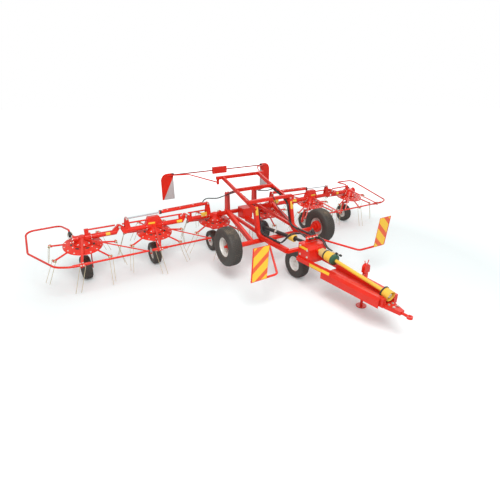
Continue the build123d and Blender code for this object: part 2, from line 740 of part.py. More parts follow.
def build_jack_leg():
    head_foot, half = SLEEVE_TOP + 8, 32
    leg = rod((JACK_X, JACK_Y, 0), (JACK_X, JACK_Y, 12), JACK_FOOT)
    leg += rod((JACK_X, JACK_Y, 0), (JACK_X, JACK_Y, JACK_TOP), JACK_LEG)
    leg += Pos(JACK_X, JACK_Y, head_foot) * Box(2 * JACK_HEAD, 2 * half, JACK_TOP - head_foot, align=BASE)
    leg += rod((JACK_X, JACK_Y - half, JACK_TOP), (JACK_X, JACK_Y + half, JACK_TOP), JACK_HEAD)
    for lean in (-1, 1):
        x = JACK_X + lean * 20
        leg += rod((x, JACK_Y, JACK_TOP + 40), (x + lean * 24, JACK_Y, JACK_TOP + 115), 7)
    return leg


# Rear light bar on two bent stays from the lifting frame
def build_light_bar():
    bars = rod((-BOARD_REAR_X, LIGHT_Y, LIGHT_Z), (BOARD_REAR_X, LIGHT_Y, LIGHT_Z), LIGHT_TUBE)
    bars += Pos(0, LIGHT_Y, LIGHT_Z) * Box(*LIGHT_BOX)
    for _, side in SIDES:
        stay = (
            (side * (LIFT_HALF - 30), 8, LIFT_TOP - 90),
            (side * LIGHT_ELBOW[0], LIGHT_ELBOW[1], LIGHT_Z + 25),
            (side * (BOARD_REAR_X - 40), LIGHT_Y, LIGHT_Z),
        )
        bars += bent_tube(stay, LIGHT_TUBE, 160)
    return bars


def build_rear_board(side):
    x, top = side * BOARD_REAR_X, LIGHT_Z + 40
    half = BOARD_WIDTH / 2
    board_y = LIGHT_Y + LIGHT_TUBE + SHEET / 2
    board = Pos(x, board_y, top - BOARD_HEIGHT / 2) * Box(BOARD_WIDTH, SHEET, BOARD_HEIGHT)
    edges = board.edges().filter_by(Axis.Y)
    outer_top = edges.sort_by(lambda edge: side * edge.center().X + edge.center().Z)[-1]
    return fillet(outer_top, half * 0.4)


# Front warning boards on bent tubes from the chassis
def build_board_arm(side):
    route = (
        (side * RAIL_X, BOARD_ROOT_Y, RAIL_Z - 26), (side * BOARD_ELBOW[0], BOARD_ELBOW[1], BOARD_Z - 29),
        (side * (BOARD_X + 120), BOARD_Y + BOARD_TUBE - 1, BOARD_Z + 4),
    )
    return bent_tube(route, BOARD_TUBE, 110)


def build_warning_board(side):
    place = Pos(side * BOARD_X, BOARD_Y, BOARD_Z) * Rot(BOARD_LEAN, 0, 0)
    return place * Box(BOARD_WIDTH, SHEET, BOARD_HEIGHT, align=BASE)


center = build_center()
chassis = build_chassis() - center
lift = build_lift() - center - chassis
save("center_beam", center)
save("chassis_frame", chassis)
save("lifting_frame", lift)
gearbox = build_gearbox() - center - chassis
save("main_gearbox", gearbox)
headstock = build_headstock()
rear_shaft = build_rear_shaft() - gearbox - chassis - headstock
save("rear_driveshaft", rear_shaft)
save("headstock", headstock)
drawbar = build_drawbar()
save("drawbar", drawbar)
save("drawbar_guard", build_drawbar_guard())
save("towing_eye", build_towing_eye())
save("pto_shaft_guard", build_pto_guard() - headstock - drawbar)
save("front_wheel_fork", build_front_fork() - chassis)
save("jack_tube", build_jack_tube())
save("jack_leg", build_jack_leg())
save("light_bar", build_light_bar() - lift)
save("transport_axle", build_transport_axle())

for name, side in SIDES:
    inner, outer = build_inner_wing(side), build_outer_wing(side)
    save(f"inner_beam_{name}", inner)
    save(f"outer_beam_{name}", outer)
    save(f"inner_guard_{name}", build_inner_guard(side, inner))
    save(f"outer_guard_{name}", build_outer_guard(side, outer))
    save(f"cylinder_barrel_{name}", build_barrel(side))
    save(f"cylinder_rod_{name}", build_piston_rod(side))
    save(f"rear_board_{name}", build_rear_board(side))
    board = build_warning_board(side)
    save(f"warning_board_{name}", board)
    save(f"board_arm_{name}", build_board_arm(side) - chassis - board)
    tyre, rim = wheel_pair(
        (side * TRANSPORT_X, *TRANSPORT_HUB), TRANSPORT_RADIUS, TRANSPORT_WIDTH, TRANSPORT_RIM, STUB,
        TRANSPORT_SIDES,
    )
    save(f"transport_tyre_{name}", tyre)
    save(f"transport_rim_{name}", rim)

tyre, rim = wheel_pair(
    (*FRONT_WHEEL, FRONT_RADIUS), FRONT_RADIUS, FRONT_WIDTH, FRONT_RIM, FRONT_AXLE, FRONT_SIDES
)
save("front_tyre", tyre)
save("front_rim", rim)

disc = rotor()
for number in range(1, ROTOR_COUNT + 1):
    x = (number - (ROTOR_COUNT + 1) / 2) * ROTOR_PITCH
    spin = 1 if number % 2 else -1
    place = rotor_plane(x)
    save(f"rotor_{number}", place * disc)
    save(f"tines_{number}", Compound(children=[place * tine for tine in tines(spin)]))
    save(f"rotor_wheel_{number}", rotor_wheel(x))
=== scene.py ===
"""Looks of a trailed six-rotor hay tedder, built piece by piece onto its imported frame, in metres."""

from math import cos, pi, radians, sin

import bpy
from mathutils import Matrix, Vector


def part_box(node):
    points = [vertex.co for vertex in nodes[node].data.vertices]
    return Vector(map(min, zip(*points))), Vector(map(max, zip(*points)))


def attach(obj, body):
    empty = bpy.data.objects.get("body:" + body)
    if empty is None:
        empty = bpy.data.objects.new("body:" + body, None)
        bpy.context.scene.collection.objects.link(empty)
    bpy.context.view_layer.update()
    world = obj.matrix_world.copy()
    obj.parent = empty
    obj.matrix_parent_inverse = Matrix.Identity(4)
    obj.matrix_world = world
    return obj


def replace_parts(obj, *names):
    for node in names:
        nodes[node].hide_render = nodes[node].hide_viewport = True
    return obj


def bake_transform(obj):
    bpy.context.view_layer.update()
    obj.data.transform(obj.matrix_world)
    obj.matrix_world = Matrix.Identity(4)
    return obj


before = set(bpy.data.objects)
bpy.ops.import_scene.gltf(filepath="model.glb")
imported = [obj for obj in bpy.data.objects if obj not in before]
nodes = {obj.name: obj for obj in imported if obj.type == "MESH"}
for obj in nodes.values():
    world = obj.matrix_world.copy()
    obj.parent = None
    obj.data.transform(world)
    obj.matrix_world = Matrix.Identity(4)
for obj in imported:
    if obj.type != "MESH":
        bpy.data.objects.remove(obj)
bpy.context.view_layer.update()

# The view of the photograph: from ahead of the machine's right wing, at about twice a person's
# height, with a moderately wide lens.
VIEW_PLACE = (-4.044, -5.153, 3.199)
VIEW_TURN = (radians(67.37), 0, radians(-31.97))
LENS_MM = 27.33
FILM_MM = 36
bpy.ops.object.camera_add(location=VIEW_PLACE, rotation=VIEW_TURN)
camera = bpy.context.object
camera.data.lens = LENS_MM
camera.data.sensor_width = FILM_MM
camera.data.clip_end = 200
bpy.context.scene.camera = camera


# Orange-red enamel on all steelwork. The parts are shot-blasted, dipped and sprayed, so the film is
# glossy with a faint orange peel, and it has a little field dust where it faces up.
def socket_in(group, name, kind, value):
    made = group.interface.new_socket(name=name, in_out="INPUT", socket_type=kind)
    made.default_value = value


def wire_up(tree, links):
    for start, end in links:
        tree.links.new(start, end)


def add_node(tree, kind, **values):
    """A shader node with its inputs set by name and its own settings by attribute."""
    node = tree.nodes.new(kind)
    for name, value in values.items():
        key = name.replace("_", " ").title()
        if key in node.inputs:
            node.inputs[key].default_value = value
        else:
            setattr(node, name, value)
    return node


def film_group(name, colours, values):
    """A film's group with its input and output nodes: colours and values in, a finish's three out."""
    group = bpy.data.node_groups.new(name, "ShaderNodeTree")
    for colour in colours:
        socket_in(group, colour, "NodeSocketColor", (1, 1, 1, 1))
    for value, usual in values.items():
        socket_in(group, value, "NodeSocketFloat", usual)
    for output, kind in (("Colour", "Color"), ("Roughness", "Float"), ("Height", "Float")):
        group.interface.new_socket(name=output, in_out="OUTPUT", socket_type=f"NodeSocket{kind}")
    return group, group.nodes.new("NodeGroupInput"), group.nodes.new("NodeGroupOutput")


def colour_sockets(sockets):
    return [socket for socket in sockets if socket.type == "RGBA"]


DUST_COLOUR = (0.42, 0.31, 0.2, 1)
DUST_DULLS = 0.55


def build_paint_film():
    group, given, out = film_group("paint_film", ("Colour",), {"Gloss": 0.3, "Dust": 0.12})
    place = group.nodes.new("ShaderNodeTexCoord")
    geometry = group.nodes.new("ShaderNodeNewGeometry")
    upward = group.nodes.new("ShaderNodeSeparateXYZ")
    level = add_node(group, "ShaderNodeMapRange", from_min=0.55, from_max=1.0)
    patches = add_node(group, "ShaderNodeTexNoise", scale=7.0, detail=5.0, roughness=0.62)
    tone = add_node(group, "ShaderNodeTexNoise", scale=2.2, detail=2.0)
    peel = add_node(group, "ShaderNodeTexNoise", scale=210.0, detail=2.0)
    patchy = add_node(group, "ShaderNodeMapRange", from_min=0.42, from_max=0.72)
    dusty = add_node(group, "ShaderNodeMath", operation="MULTIPLY")
    dust = add_node(group, "ShaderNodeMath", operation="MULTIPLY")
    shade = add_node(group, "ShaderNodeMapRange", from_min=0.3, from_max=0.7, to_min=0.86, to_max=1.1)
    toned = add_node(group, "ShaderNodeVectorMath", operation="SCALE")
    mixed = add_node(group, "ShaderNodeMix", data_type="RGBA")
    dull = add_node(group, "ShaderNodeMath", operation="MULTIPLY_ADD")
    dull.inputs[1].default_value = DUST_DULLS
    mixed_colours = colour_sockets(mixed.inputs)
    mixed_colours[1].default_value = DUST_COLOUR
    wire_up(group, (
        (place.outputs["Object"], patches.inputs["Vector"]),
        (place.outputs["Object"], tone.inputs["Vector"]),
        (place.outputs["Object"], peel.inputs["Vector"]),
        (geometry.outputs["Normal"], upward.inputs[0]),
        (upward.outputs["Z"], level.inputs["Value"]),
        (patches.outputs["Fac"], patchy.inputs["Value"]),
        (level.outputs[0], dusty.inputs[0]), (patchy.outputs[0], dusty.inputs[1]),
        (dusty.outputs[0], dust.inputs[0]), (given.outputs["Dust"], dust.inputs[1]),
        (tone.outputs["Fac"], shade.inputs["Value"]),
        (given.outputs["Colour"], toned.inputs[0]), (shade.outputs[0], toned.inputs["Scale"]),
        (dust.outputs[0], mixed.inputs["Factor"]),
        (toned.outputs["Vector"], mixed_colours[0]),
        (colour_sockets(mixed.outputs)[0], out.inputs["Colour"]),
        (dust.outputs[0], dull.inputs[0]), (given.outputs["Gloss"], dull.inputs[2]),
        (dull.outputs[0], out.inputs["Roughness"]),
        (peel.outputs["Fac"], out.inputs["Height"]),
    ))
    return group


paint_film = build_paint_film()
RELIEF_DEPTH = 0.0004


def surface(name, colour, film=paint_film, coat=0.0, metallic=0.0, bump=0.06, **values):
    """A material whose colour, roughness and relief come from a film's group, with its own values."""
    material = bpy.data.materials.new(name)
    material.use_nodes = True
    tree = material.node_tree
    shader = tree.nodes["Principled BSDF"]
    shader.inputs["Metallic"].default_value = metallic
    shader.inputs["Coat Weight"].default_value = coat
    shader.inputs["Coat Roughness"].default_value = 0.12
    layer = tree.nodes.new("ShaderNodeGroup")
    layer.node_tree = film
    layer.inputs["Colour"].default_value = (*colour, 1)
    for key, value in values.items():
        layer.inputs[key.title()].default_value = value
    relief = add_node(tree, "ShaderNodeBump", strength=bump, distance=RELIEF_DEPTH)
    wire_up(tree, (
        (layer.outputs["Colour"], shader.inputs["Base Color"]),
        (layer.outputs["Roughness"], shader.inputs["Roughness"]),
        (layer.outputs["Height"], relief.inputs["Height"]),
        (relief.outputs["Normal"], shader.inputs["Normal"]),
    ))
    return material


enamel = surface("orange_red_enamel", (0.73, 0.020, 0.007), coat=0.15, gloss=0.34)
enamel.node_tree.nodes["Principled BSDF"].inputs["Specular IOR Level"].default_value = 0.3


def paint_node(name, material):
    """Gives a CAD node its finish and slot. Its mesh stays as it is."""
    nodes[name].data.materials.clear()
    nodes[name].data.materials.append(material)


SIDES = (("right", -1), ("left", 1))
ROTORS = range(1, 7)
WELDED_NODES = (
    "center_beam", "chassis_frame", "lifting_frame", "main_gearbox", "headstock", "drawbar",
    "drawbar_guard", "towing_eye", "front_wheel_fork", "jack_tube", "jack_leg", "light_bar",
    "transport_axle",
)
for name in WELDED_NODES:
    paint_node(name, enamel)
for side_name, _ in SIDES:
    for stem in ("inner_beam", "outer_beam", "inner_guard", "outer_guard", "board_arm", "cylinder_barrel"):
        paint_node(f"{stem}_{side_name}", enamel)
for number in ROTORS:
    paint_node(f"rotor_{number}", enamel)


# Fasteners along the rotor row: zinc-plated flange bolts round the end flanges of the six gear
# housings, and headed pins through the four hinges. Bolts are cold-headed and turned, then plated.
ROW_Y = 1.695
PITCH = 1.3
TILT = radians(12)
BEAM_Z = 0.83
HINGE_Z = 0.93
DISC_Z = 0.72
POLE = 0.000002
zinc = surface("plated_zinc", (0.72, 0.70, 0.63), metallic=0.75, gloss=0.34, dust=0.1, bump=0.03)
CARRIERS = (
    "wing_outer_right", "wing_inner_right", "root", "root", "wing_inner_left", "wing_outer_left"
)


def deselect():
    if bpy.context.object and bpy.context.object.mode != "OBJECT":
        bpy.ops.object.mode_set(mode="OBJECT")
    bpy.ops.object.select_all(action="DESELECT")


def pick(*objects):
    deselect()
    for piece in objects:
        piece.select_set(True)
    bpy.context.view_layer.objects.active = objects[0]


def bake_place():
    bpy.ops.object.transform_apply(location=True, rotation=True, scale=True)


def joined(pieces):
    pick(*pieces)
    if len(pieces) > 1:
        bpy.ops.object.join()
    return bpy.context.object


def settle(piece, name, material, body, angle=38):
    """The finished piece gets its name, finish and body, if any, and its place goes into its mesh."""
    pick(piece)
    bake_place()
    bpy.ops.object.shade_smooth_by_angle(angle=radians(angle))
    piece.name = piece.data.name = name
    piece.data.materials.clear()
    piece.data.materials.append(material)
    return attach(piece, body) if body else piece


def placed(template, place):
    """A copy of a modelled piece, with its own mesh, at the given place."""
    twin = template.copy()
    twin.data = template.data.copy()
    bpy.context.collection.objects.link(twin)
    twin.matrix_world = place
    return twin


def copied(template, places):
    return [placed(template, place) for place in places]


def discard(*pieces):
    for piece in pieces:
        bpy.data.objects.remove(piece)


def lathed(profile, sides=48):
    """A turned body about Z from radius and height pairs, where POLE stands for the axis itself."""
    deselect()
    radius, height = profile[0]
    bpy.ops.mesh.primitive_circle_add(vertices=sides, radius=radius, location=(0, 0, height))
    bpy.ops.object.mode_set(mode="EDIT")
    for wider, higher in profile[1:]:
        bpy.ops.mesh.extrude_region_move(TRANSFORM_OT_translate={"value": (0, 0, higher - height)})
        grow = wider / radius
        bpy.ops.transform.resize(value=(grow, grow, 1), center_override=(0, 0, higher))
        radius, height = wider, higher
    bpy.ops.mesh.select_all(action="SELECT")
    bpy.ops.mesh.remove_doubles(threshold=0.00002)
    bpy.ops.mesh.normals_make_consistent(inside=False)
    bpy.ops.object.mode_set(mode="OBJECT")
    bake_place()
    return bpy.context.object


def facing(point, direction):
    """Place that puts a piece's Z along a direction."""
    turn = Vector(direction).to_track_quat("Z", "Y").to_matrix().to_4x4()
    return Matrix.Translation(point) @ turn


def ring_of(count, radius, height=0.0, start=0.0):
    """Places evenly round the Z axis."""
    return [
        Matrix.Rotation(start + 2 * pi * step / count, 4, "Z") @ Matrix.Translation((radius, 0, height))
        for step in range(count)
    ]


def bolt(across):
    """Hexagon bolt head with a chamfered top on a round washer."""
    washer = lathed(((POLE, 0), (across * 0.75, 0), (across * 0.75, 0.0025), (POLE, 0.0025)), 16)
    hexagon = lathed(
        (
            (across * 0.58, 0.002), (across * 0.58, across * 0.42), (across * 0.5, across * 0.5),
            (POLE, across * 0.5),
        ), 6
    )
    return joined([washer, hexagon])


def rotor_x(number):
    return (number - (len(ROTORS) + 1) / 2) * PITCH


def rotor_place(number):
    return Matrix.Translation((rotor_x(number), ROW_Y, DISC_Z)) @ Matrix.Rotation(TILT, 4, "X")


small_bolt = bolt(0.017)
large_bolt = bolt(0.026)
HOUSING_HALF = 0.15
FLANGE_BOLTS = 0.0635
HOUSING_BOLT = (0.128, 0, 0.0512)
HOUSING_FALL = 0.544
for number, carrier in enumerate(CARRIERS, 1):
    places = []
    for end in (-1, 1):
        flange = facing((rotor_x(number) + end * HOUSING_HALF, ROW_Y, BEAM_Z), (end, 0, 0))
        places += [flange @ spot for spot in ring_of(8, FLANGE_BOLTS, start=pi / 8)]
    slope = Matrix.Translation(HOUSING_BOLT) @ Matrix.Rotation(HOUSING_FALL, 4, "Y")
    places += [rotor_place(number) @ spot @ slope for spot in ring_of(8, 0.0)]
    settle(joined(copied(small_bolt, places)), f"housing_bolts_{number}", zinc, carrier)

PIN_HEAD = ((POLE, 0.011), (0.019, 0.011), (0.021, 0.008), (0.021, 0), (0.016, -0.002), (POLE, -0.002))
PIN_END = 0.058
pin_head = lathed(PIN_HEAD, 24)
for side_name, side in SIDES:
    for joint_x, carrier in ((PITCH, "root"), (2 * PITCH, f"wing_inner_{side_name}")):
        places = [
            facing((side * joint_x, ROW_Y + end * PIN_END, HINGE_Z), (0, end, 0)) for end in (-1, 1)
        ]
        name = f"hinge_pin_heads_{round(joint_x * 1000)}_{side_name}"
        settle(joined(copied(pin_head, places)), name, zinc, carrier)
discard(pin_head)

# Rotor discs: pressed from thick sheet with a rolled rim, and oval hand holes, each filled by a near-black
# oval of painted shade for its dark inside. A pair of plated bolts stands over each arm's root, and ridges
# between the arms stiffen the sheet.
DISC_TOP = 0.036
DISC_RIM = (0.322, -0.012)
DISC_HUB = 0.078
DISC_FALL = (DISC_TOP - DISC_RIM[1]) / (DISC_RIM[0] - DISC_HUB)
ARM_BOLTS = (0.2, 0.295)
RIM_BOLT = 0.303
HAND_HOLE = 0.19
RIDGE = 0.252
ARM_COUNT = 7
ARM_TURNS = ring_of(ARM_COUNT, 0.0)
GAP_TURNS = ring_of(ARM_COUNT, 0.0, start=pi / ARM_COUNT)
# Near-black finish: the gland nuts' own colour, and painted shade in the rotor discs' hand holes.
dark_nut_and_painted_shade = surface("dark_nut_and_painted_shade", (0.018, 0.014, 0.013), gloss=0.5, dust=0.2)


def disc_place(radius):
    """A place on the disc's cone, its Z square to the sheet."""
    height = DISC_TOP - (radius - DISC_HUB) * DISC_FALL
    return Matrix.Translation((radius, 0, height)) @ Matrix.Rotation(DISC_FALL, 4, "Y")


hole_lip = lathed(
    ((0.026, -0.002), (0.028, 0.0025), (0.031, 0.0035), (0.034, 0.002), (0.035, -0.002), (0.026, -0.002)), 28
)
# A thin near-black oval in each hand hole: painted shade standing for the hole's dark inside.
shade_oval = lathed(((POLE, 0.0012), (0.0262, 0.0012), (0.0262, -0.002), (POLE, -0.002)), 28)
oval = Matrix.Diagonal((0.72, 1.35, 1, 1))
ridge = lathed(((POLE, -0.003), (0.016, -0.003), (0.014, 0.001), (0.009, 0.004), (POLE, 0.0052)), 20)
long_ridge = Matrix.Diagonal((2.1, 1, 1, 1))
rim_bead = lathed(
    ((0.316, -0.0135), (0.3205, -0.0095), (0.326, -0.0115), (0.3315, -0.0165), (0.3315, -0.026),
     (0.325, -0.026), (0.316, -0.0135)), 96
)
for number in ROTORS:
    body = f"rotor_{number}"
    place = rotor_place(number)
    spots = [place @ turn @ disc_place(radius) for radius in ARM_BOLTS for turn in ARM_TURNS]
    bolts = copied(small_bolt, spots + [place @ turn @ disc_place(RIM_BOLT) for turn in GAP_TURNS])
    holes = [place @ turn @ disc_place(HAND_HOLE) @ oval for turn in GAP_TURNS]
    pressings = [placed(rim_bead, place)] + copied(hole_lip, holes)
    pressings += copied(ridge, [place @ turn @ disc_place(RIDGE) @ long_ridge for turn in GAP_TURNS])
    painted_shade_ovals = copied(shade_oval, holes)
    settle(joined(pressings), f"disc_pressings_{number}", enamel, body, angle=50)
    # The hand holes' painted shade.
    settle(joined(painted_shade_ovals), f"disc_painted_shade_{number}", dark_nut_and_painted_shade, body)
    settle(joined(bolts), f"disc_bolts_{number}", zinc, body)
discard(rim_bead, hole_lip, ridge, shade_oval)

# Spring tines: cream-coated spring steel, wound in a coil each side of every arm's lug and drawn
# out into a straight leg of one of two lengths. A bolt through the lug clamps the pair.
cream_coat = surface("cream_tine_coat", (0.60, 0.52, 0.34), gloss=0.42, dust=0.1)
WIRE = 0.0045
COIL = 0.0165
COIL_X = 0.567
COIL_Z = -0.078
COIL_TURNS = 3.5
COIL_LENGTH = 0.030
POINTS_A_TURN = 8
LUG_HALF = 0.014
TINE_REACH = 0.700
TINE_SHORTER = 0.016
TINE_TRAIL = 0.110
TINE_FOOT = -0.545
TINE_BOW = 0.004


def bent_wire(points, radius, sides=2, per_point=2):
    """Round wire drawn along control points, as a mesh."""
    deselect()
    bpy.ops.curve.primitive_nurbs_path_add()
    wire = bpy.context.object
    wire.location = (0, 0, 0)
    line = wire.data.splines[0]
    line.points.add(len(points) - len(line.points))
    for point, where in zip(line.points, points):
        point.co = (*where, 1)
    line.order_u = 3
    line.use_endpoint_u = True
    line.resolution_u = per_point
    wire.data.bevel_depth = radius
    wire.data.bevel_resolution = sides
    wire.data.use_fill_caps = True
    pick(wire)
    bpy.ops.object.convert(target="MESH")
    return bpy.context.object


def tine(side, spin):
    """One coil and its leg, on an arm that points along +X."""
    start = side * LUG_HALF
    coil_length = side * COIL_LENGTH
    points = []
    for step in range(int(COIL_TURNS * POINTS_A_TURN) + 1):
        turn = step / POINTS_A_TURN
        around = pi / 2 + side * 2 * pi * turn
        points.append((
            COIL_X + COIL * cos(around), start + coil_length * turn / COIL_TURNS,
            COIL_Z + COIL * sin(around),
        ))
    reach = TINE_REACH - (TINE_SHORTER if side == spin else 0)
    y = start + coil_length
    foot = Vector((reach, y - spin * TINE_TRAIL, TINE_FOOT))
    knee = Vector((COIL_X + 0.013, y, COIL_Z - 0.024))
    for share in (0.0, 0.33, 0.66, 1.0):
        points.append(knee.lerp(foot, share) + Vector((0, 0, -TINE_BOW if 0 < share < 1 else 0)))
    return bent_wire(points, WIRE, sides=1)


for number in ROTORS:
    spin = 1 if number % 2 else -1
    pair = joined([tine(-1, spin), tine(1, spin)])
    reel = joined(copied(pair, [rotor_place(number) @ turn for turn in ARM_TURNS]))
    discard(pair)
    settle(reel, f"tine_reel_{number}", cream_coat, f"rotor_{number}", angle=60)
    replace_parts(reel, f"tines_{number}")

# Clamp bolts: one plated bolt through the flat lug at the end of every arm holds its two coils. Its
# head and nut stand on the lug's two faces.
LUG_BOLT = (0.557, -0.074)
LUG_FACE = 0.0115
for number in ROTORS:
    places = []
    for turn in ARM_TURNS:
        for end in (-1, 1):
            spot = facing((LUG_BOLT[0], end * LUG_FACE, LUG_BOLT[1]), (0, end, 0))
            places.append(rotor_place(number) @ turn @ spot)
    clamps = joined(copied(small_bolt, places))
    settle(clamps, f"tine_clamp_bolts_{number}", zinc, f"rotor_{number}")

# Rotor support wheels: flotation tyres moulded with rows of low blocks, on pale pressed rims. Five
# plated bolts hold each rim to its sealed hub.
rubber = surface("tyre_rubber", (0.050, 0.043, 0.037), gloss=0.62, dust=0.55, bump=0.25)
pale_rim = surface("pale_rim_enamel", (0.72, 0.70, 0.66), coat=0.3, gloss=0.35, dust=0.25)
TREAD = 0.006


def tread_block(length, width):
    """One moulded tread block, drawn in at its top."""
    deselect()
    bpy.ops.mesh.primitive_cube_add(size=1)
    block = bpy.context.object
    block.scale = (TREAD * 2, length, width)
    bake_place()
    for face in block.data.polygons:
        face.select = face.normal.x > 0.9
    for edge in block.data.edges:
        edge.select = False
    for corner in block.data.vertices:
        corner.select = corner.co.x > 0
    bpy.ops.object.mode_set(mode="EDIT")
    bpy.ops.transform.resize(value=(1, 0.72, 0.82), center_override=(TREAD, 0, 0))
    bpy.ops.object.mode_set(mode="OBJECT")
    return block


def tyre(radius, width, rim, blocks, rows):
    """Carcass with round shoulders and rows of blocks, each row set half a block on."""
    half, crown, seat = width / 2, radius - TREAD, rim + 0.002
    middle = (rim + radius) / 2
    carcass = lathed(
        (
            (seat, -half * 0.7), (rim + 0.016, -half * 0.86), (rim + 0.022, -half * 0.87),
            (middle - 0.006, -half * 0.985), (middle, -half), (middle + 0.012, -half * 0.99),
            (crown - 0.03, -half * 0.95), (crown - 0.014, -half * 0.85), (crown - 0.005, -half * 0.66),
            (crown, -half * 0.4), (crown, half * 0.4), (crown - 0.005, half * 0.66),
            (crown - 0.014, half * 0.85), (crown - 0.03, half * 0.95), (middle + 0.012, half * 0.99),
            (middle, half), (middle - 0.006, half * 0.985), (rim + 0.022, half * 0.87),
            (rim + 0.016, half * 0.86), (seat, half * 0.7), (seat, -half * 0.7),
        ), 96
    )
    block = tread_block(2 * pi * radius / blocks * 0.74, width / rows * 0.66)
    places = []
    for row in range(rows):
        across = (row + 0.5) / rows * 2 - 1
        inset = 0.001 + 0.016 * max(0.0, abs(across) - 0.45) ** 2 * 4
        start = (row % 2) * pi / blocks
        lean = Matrix.Rotation(-0.5 * across * abs(across), 4, "Y")
        for spot in ring_of(blocks, crown - inset, half * 0.86 * across, start):
            places.append(spot @ lean)
    made = joined([carcass] + copied(block, places))
    discard(block)
    return made


def rim_band(radius, half):
    """Rolled rim with a flange at each edge and a well in its middle."""
    return lathed(
        (
            (radius + 0.012, half), (radius, half - 0.012), (radius - 0.003, half * 0.4),
            (radius - 0.018, half * 0.28), (radius - 0.018, -half * 0.28), (radius - 0.003, -half * 0.4),
            (radius, -half + 0.012), (radius + 0.012, -half), (radius + 0.006, -half),
            (radius - 0.006, -half + 0.014), (radius - 0.009, -half * 0.41),
            (radius - 0.024, -half * 0.29), (radius - 0.024, half * 0.29),
            (radius - 0.009, half * 0.41), (radius - 0.006, half - 0.014), (radius + 0.006, half),
            (radius + 0.012, half),
        ), 72
    )


def rim_disc(outer, hub, seat, dish):
    """Pressed disc between the hub and the rim, bulged by the given dish."""
    return lathed(
        (
            (hub, seat), (hub * 1.5, seat + 0.002), (outer * 0.62, seat + dish),
            (outer * 0.8, seat + dish), (outer, seat - dish * 0.4), (outer, seat - dish * 0.4 - 0.007),
            (outer * 0.8, seat + dish - 0.006), (outer * 0.62, seat + dish - 0.006),
            (hub * 1.5, seat - 0.005), (hub, seat - 0.006), (hub, seat),
        ), 72
    )


def hub_boss(radius, foot, top):
    """Bearing hub with a stepped cap."""
    return lathed(
        (
            (POLE, foot), (radius * 0.9, foot), (radius, foot + 0.004), (radius, top - 0.016),
            (radius * 0.84, top - 0.010), (radius * 0.62, top - 0.008), (radius * 0.56, top - 0.002),
            (radius * 0.45, top), (POLE, top),
        ), 40
    )


def side_of(number):
    """-1 for a rotor on the machine's right and 1 for one on its left."""
    return -1 if rotor_x(number) < 0 else 1


def wheel_place(centre, side):
    """Place that lays a wheel's axis across the machine, its outer face on the given side."""
    return Matrix.Translation(centre) @ Matrix.Rotation(side * pi / 2, 4, "Y")


WHEEL_Y = 0.12
WHEEL_RADIUS = 0.22
WHEEL_RIM = 0.112
wheel_tyre = tyre(WHEEL_RADIUS, width=0.17, rim=WHEEL_RIM, blocks=44, rows=4)
wheel_rim = joined([
    rim_band(WHEEL_RIM, half=0.061), rim_disc(outer=0.09, hub=0.03, seat=-0.004, dish=0.014),
    hub_boss(radius=0.033, foot=-0.055, top=0.05),
])
wheel_bolts = joined(copied(small_bolt, ring_of(5, radius=0.05, height=0.0035)))
for number in ROTORS:
    body = f"rotor_wheel_{number}"
    place = wheel_place((rotor_x(number), ROW_Y + WHEEL_Y, WHEEL_RADIUS), side_of(number))
    dressed = settle(placed(wheel_tyre, place), f"wheel_tyre_{number}", rubber, body, angle=34)
    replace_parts(dressed, f"rotor_wheel_{number}")
    settle(placed(wheel_rim, place), f"wheel_rim_{number}", pale_rim, body)
    settle(placed(wheel_bolts, place), f"wheel_bolts_{number}", zinc, body)
discard(wheel_tyre, wheel_rim, wheel_bolts)

# Transport wheels: wide low-pressure tyres on deep pressed rims in pale grey, each bolted to a red
# hub that stands far inside the rim. Its drum fills the middle of the rim's inner side.
TRANSPORT = Vector((1.07, ROW_Y - 1.35, 0.669))
BIG_RIM = 0.172
DRUM = (
    (0.0275, -0.127), (0.105, -0.127), (0.112, -0.12), (0.112, -0.104), (0.118, -0.1), (0.118, -0.066),
    (0.112, -0.06), (0.0275, -0.06), (0.0275, -0.127),
)


def on_side(point, side):
    """A point of the machine's left, or its mirrored place on the right."""
    return Vector((side * point.x, point.y, point.z))


big_tyre = tyre(0.355, width=0.236, rim=BIG_RIM, blocks=52, rows=6)
big_rim = joined([
    rim_band(BIG_RIM, half=0.085), rim_disc(outer=0.15, hub=0.05, seat=-0.045, dish=0.012)
])
big_bolts = joined(copied(large_bolt, ring_of(6, radius=0.066, height=-0.04)))
for side_name, side in SIDES:
    body = f"transport_wheel_{side_name}"
    place = wheel_place(on_side(TRANSPORT, side), side)
    dressed = settle(placed(big_tyre, place), f"big_tyre_{side_name}", rubber, body, angle=34)
    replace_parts(dressed, f"transport_tyre_{side_name}")
    dressed = settle(placed(big_rim, place), f"big_rim_{side_name}", pale_rim, body)
    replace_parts(dressed, f"transport_rim_{side_name}")
    hub = hub_boss(radius=0.058, foot=-0.088, top=0.02)
    hub.matrix_world = place
    settle(hub, f"big_hub_{side_name}", enamel, body)
    drum = lathed(DRUM, 56)
    drum.matrix_world = place
    settle(drum, f"brake_drum_{side_name}", enamel, body)
    settle(placed(big_bolts, place), f"big_wheel_bolts_{side_name}", zinc, body)
discard(big_tyre, big_rim, big_bolts)

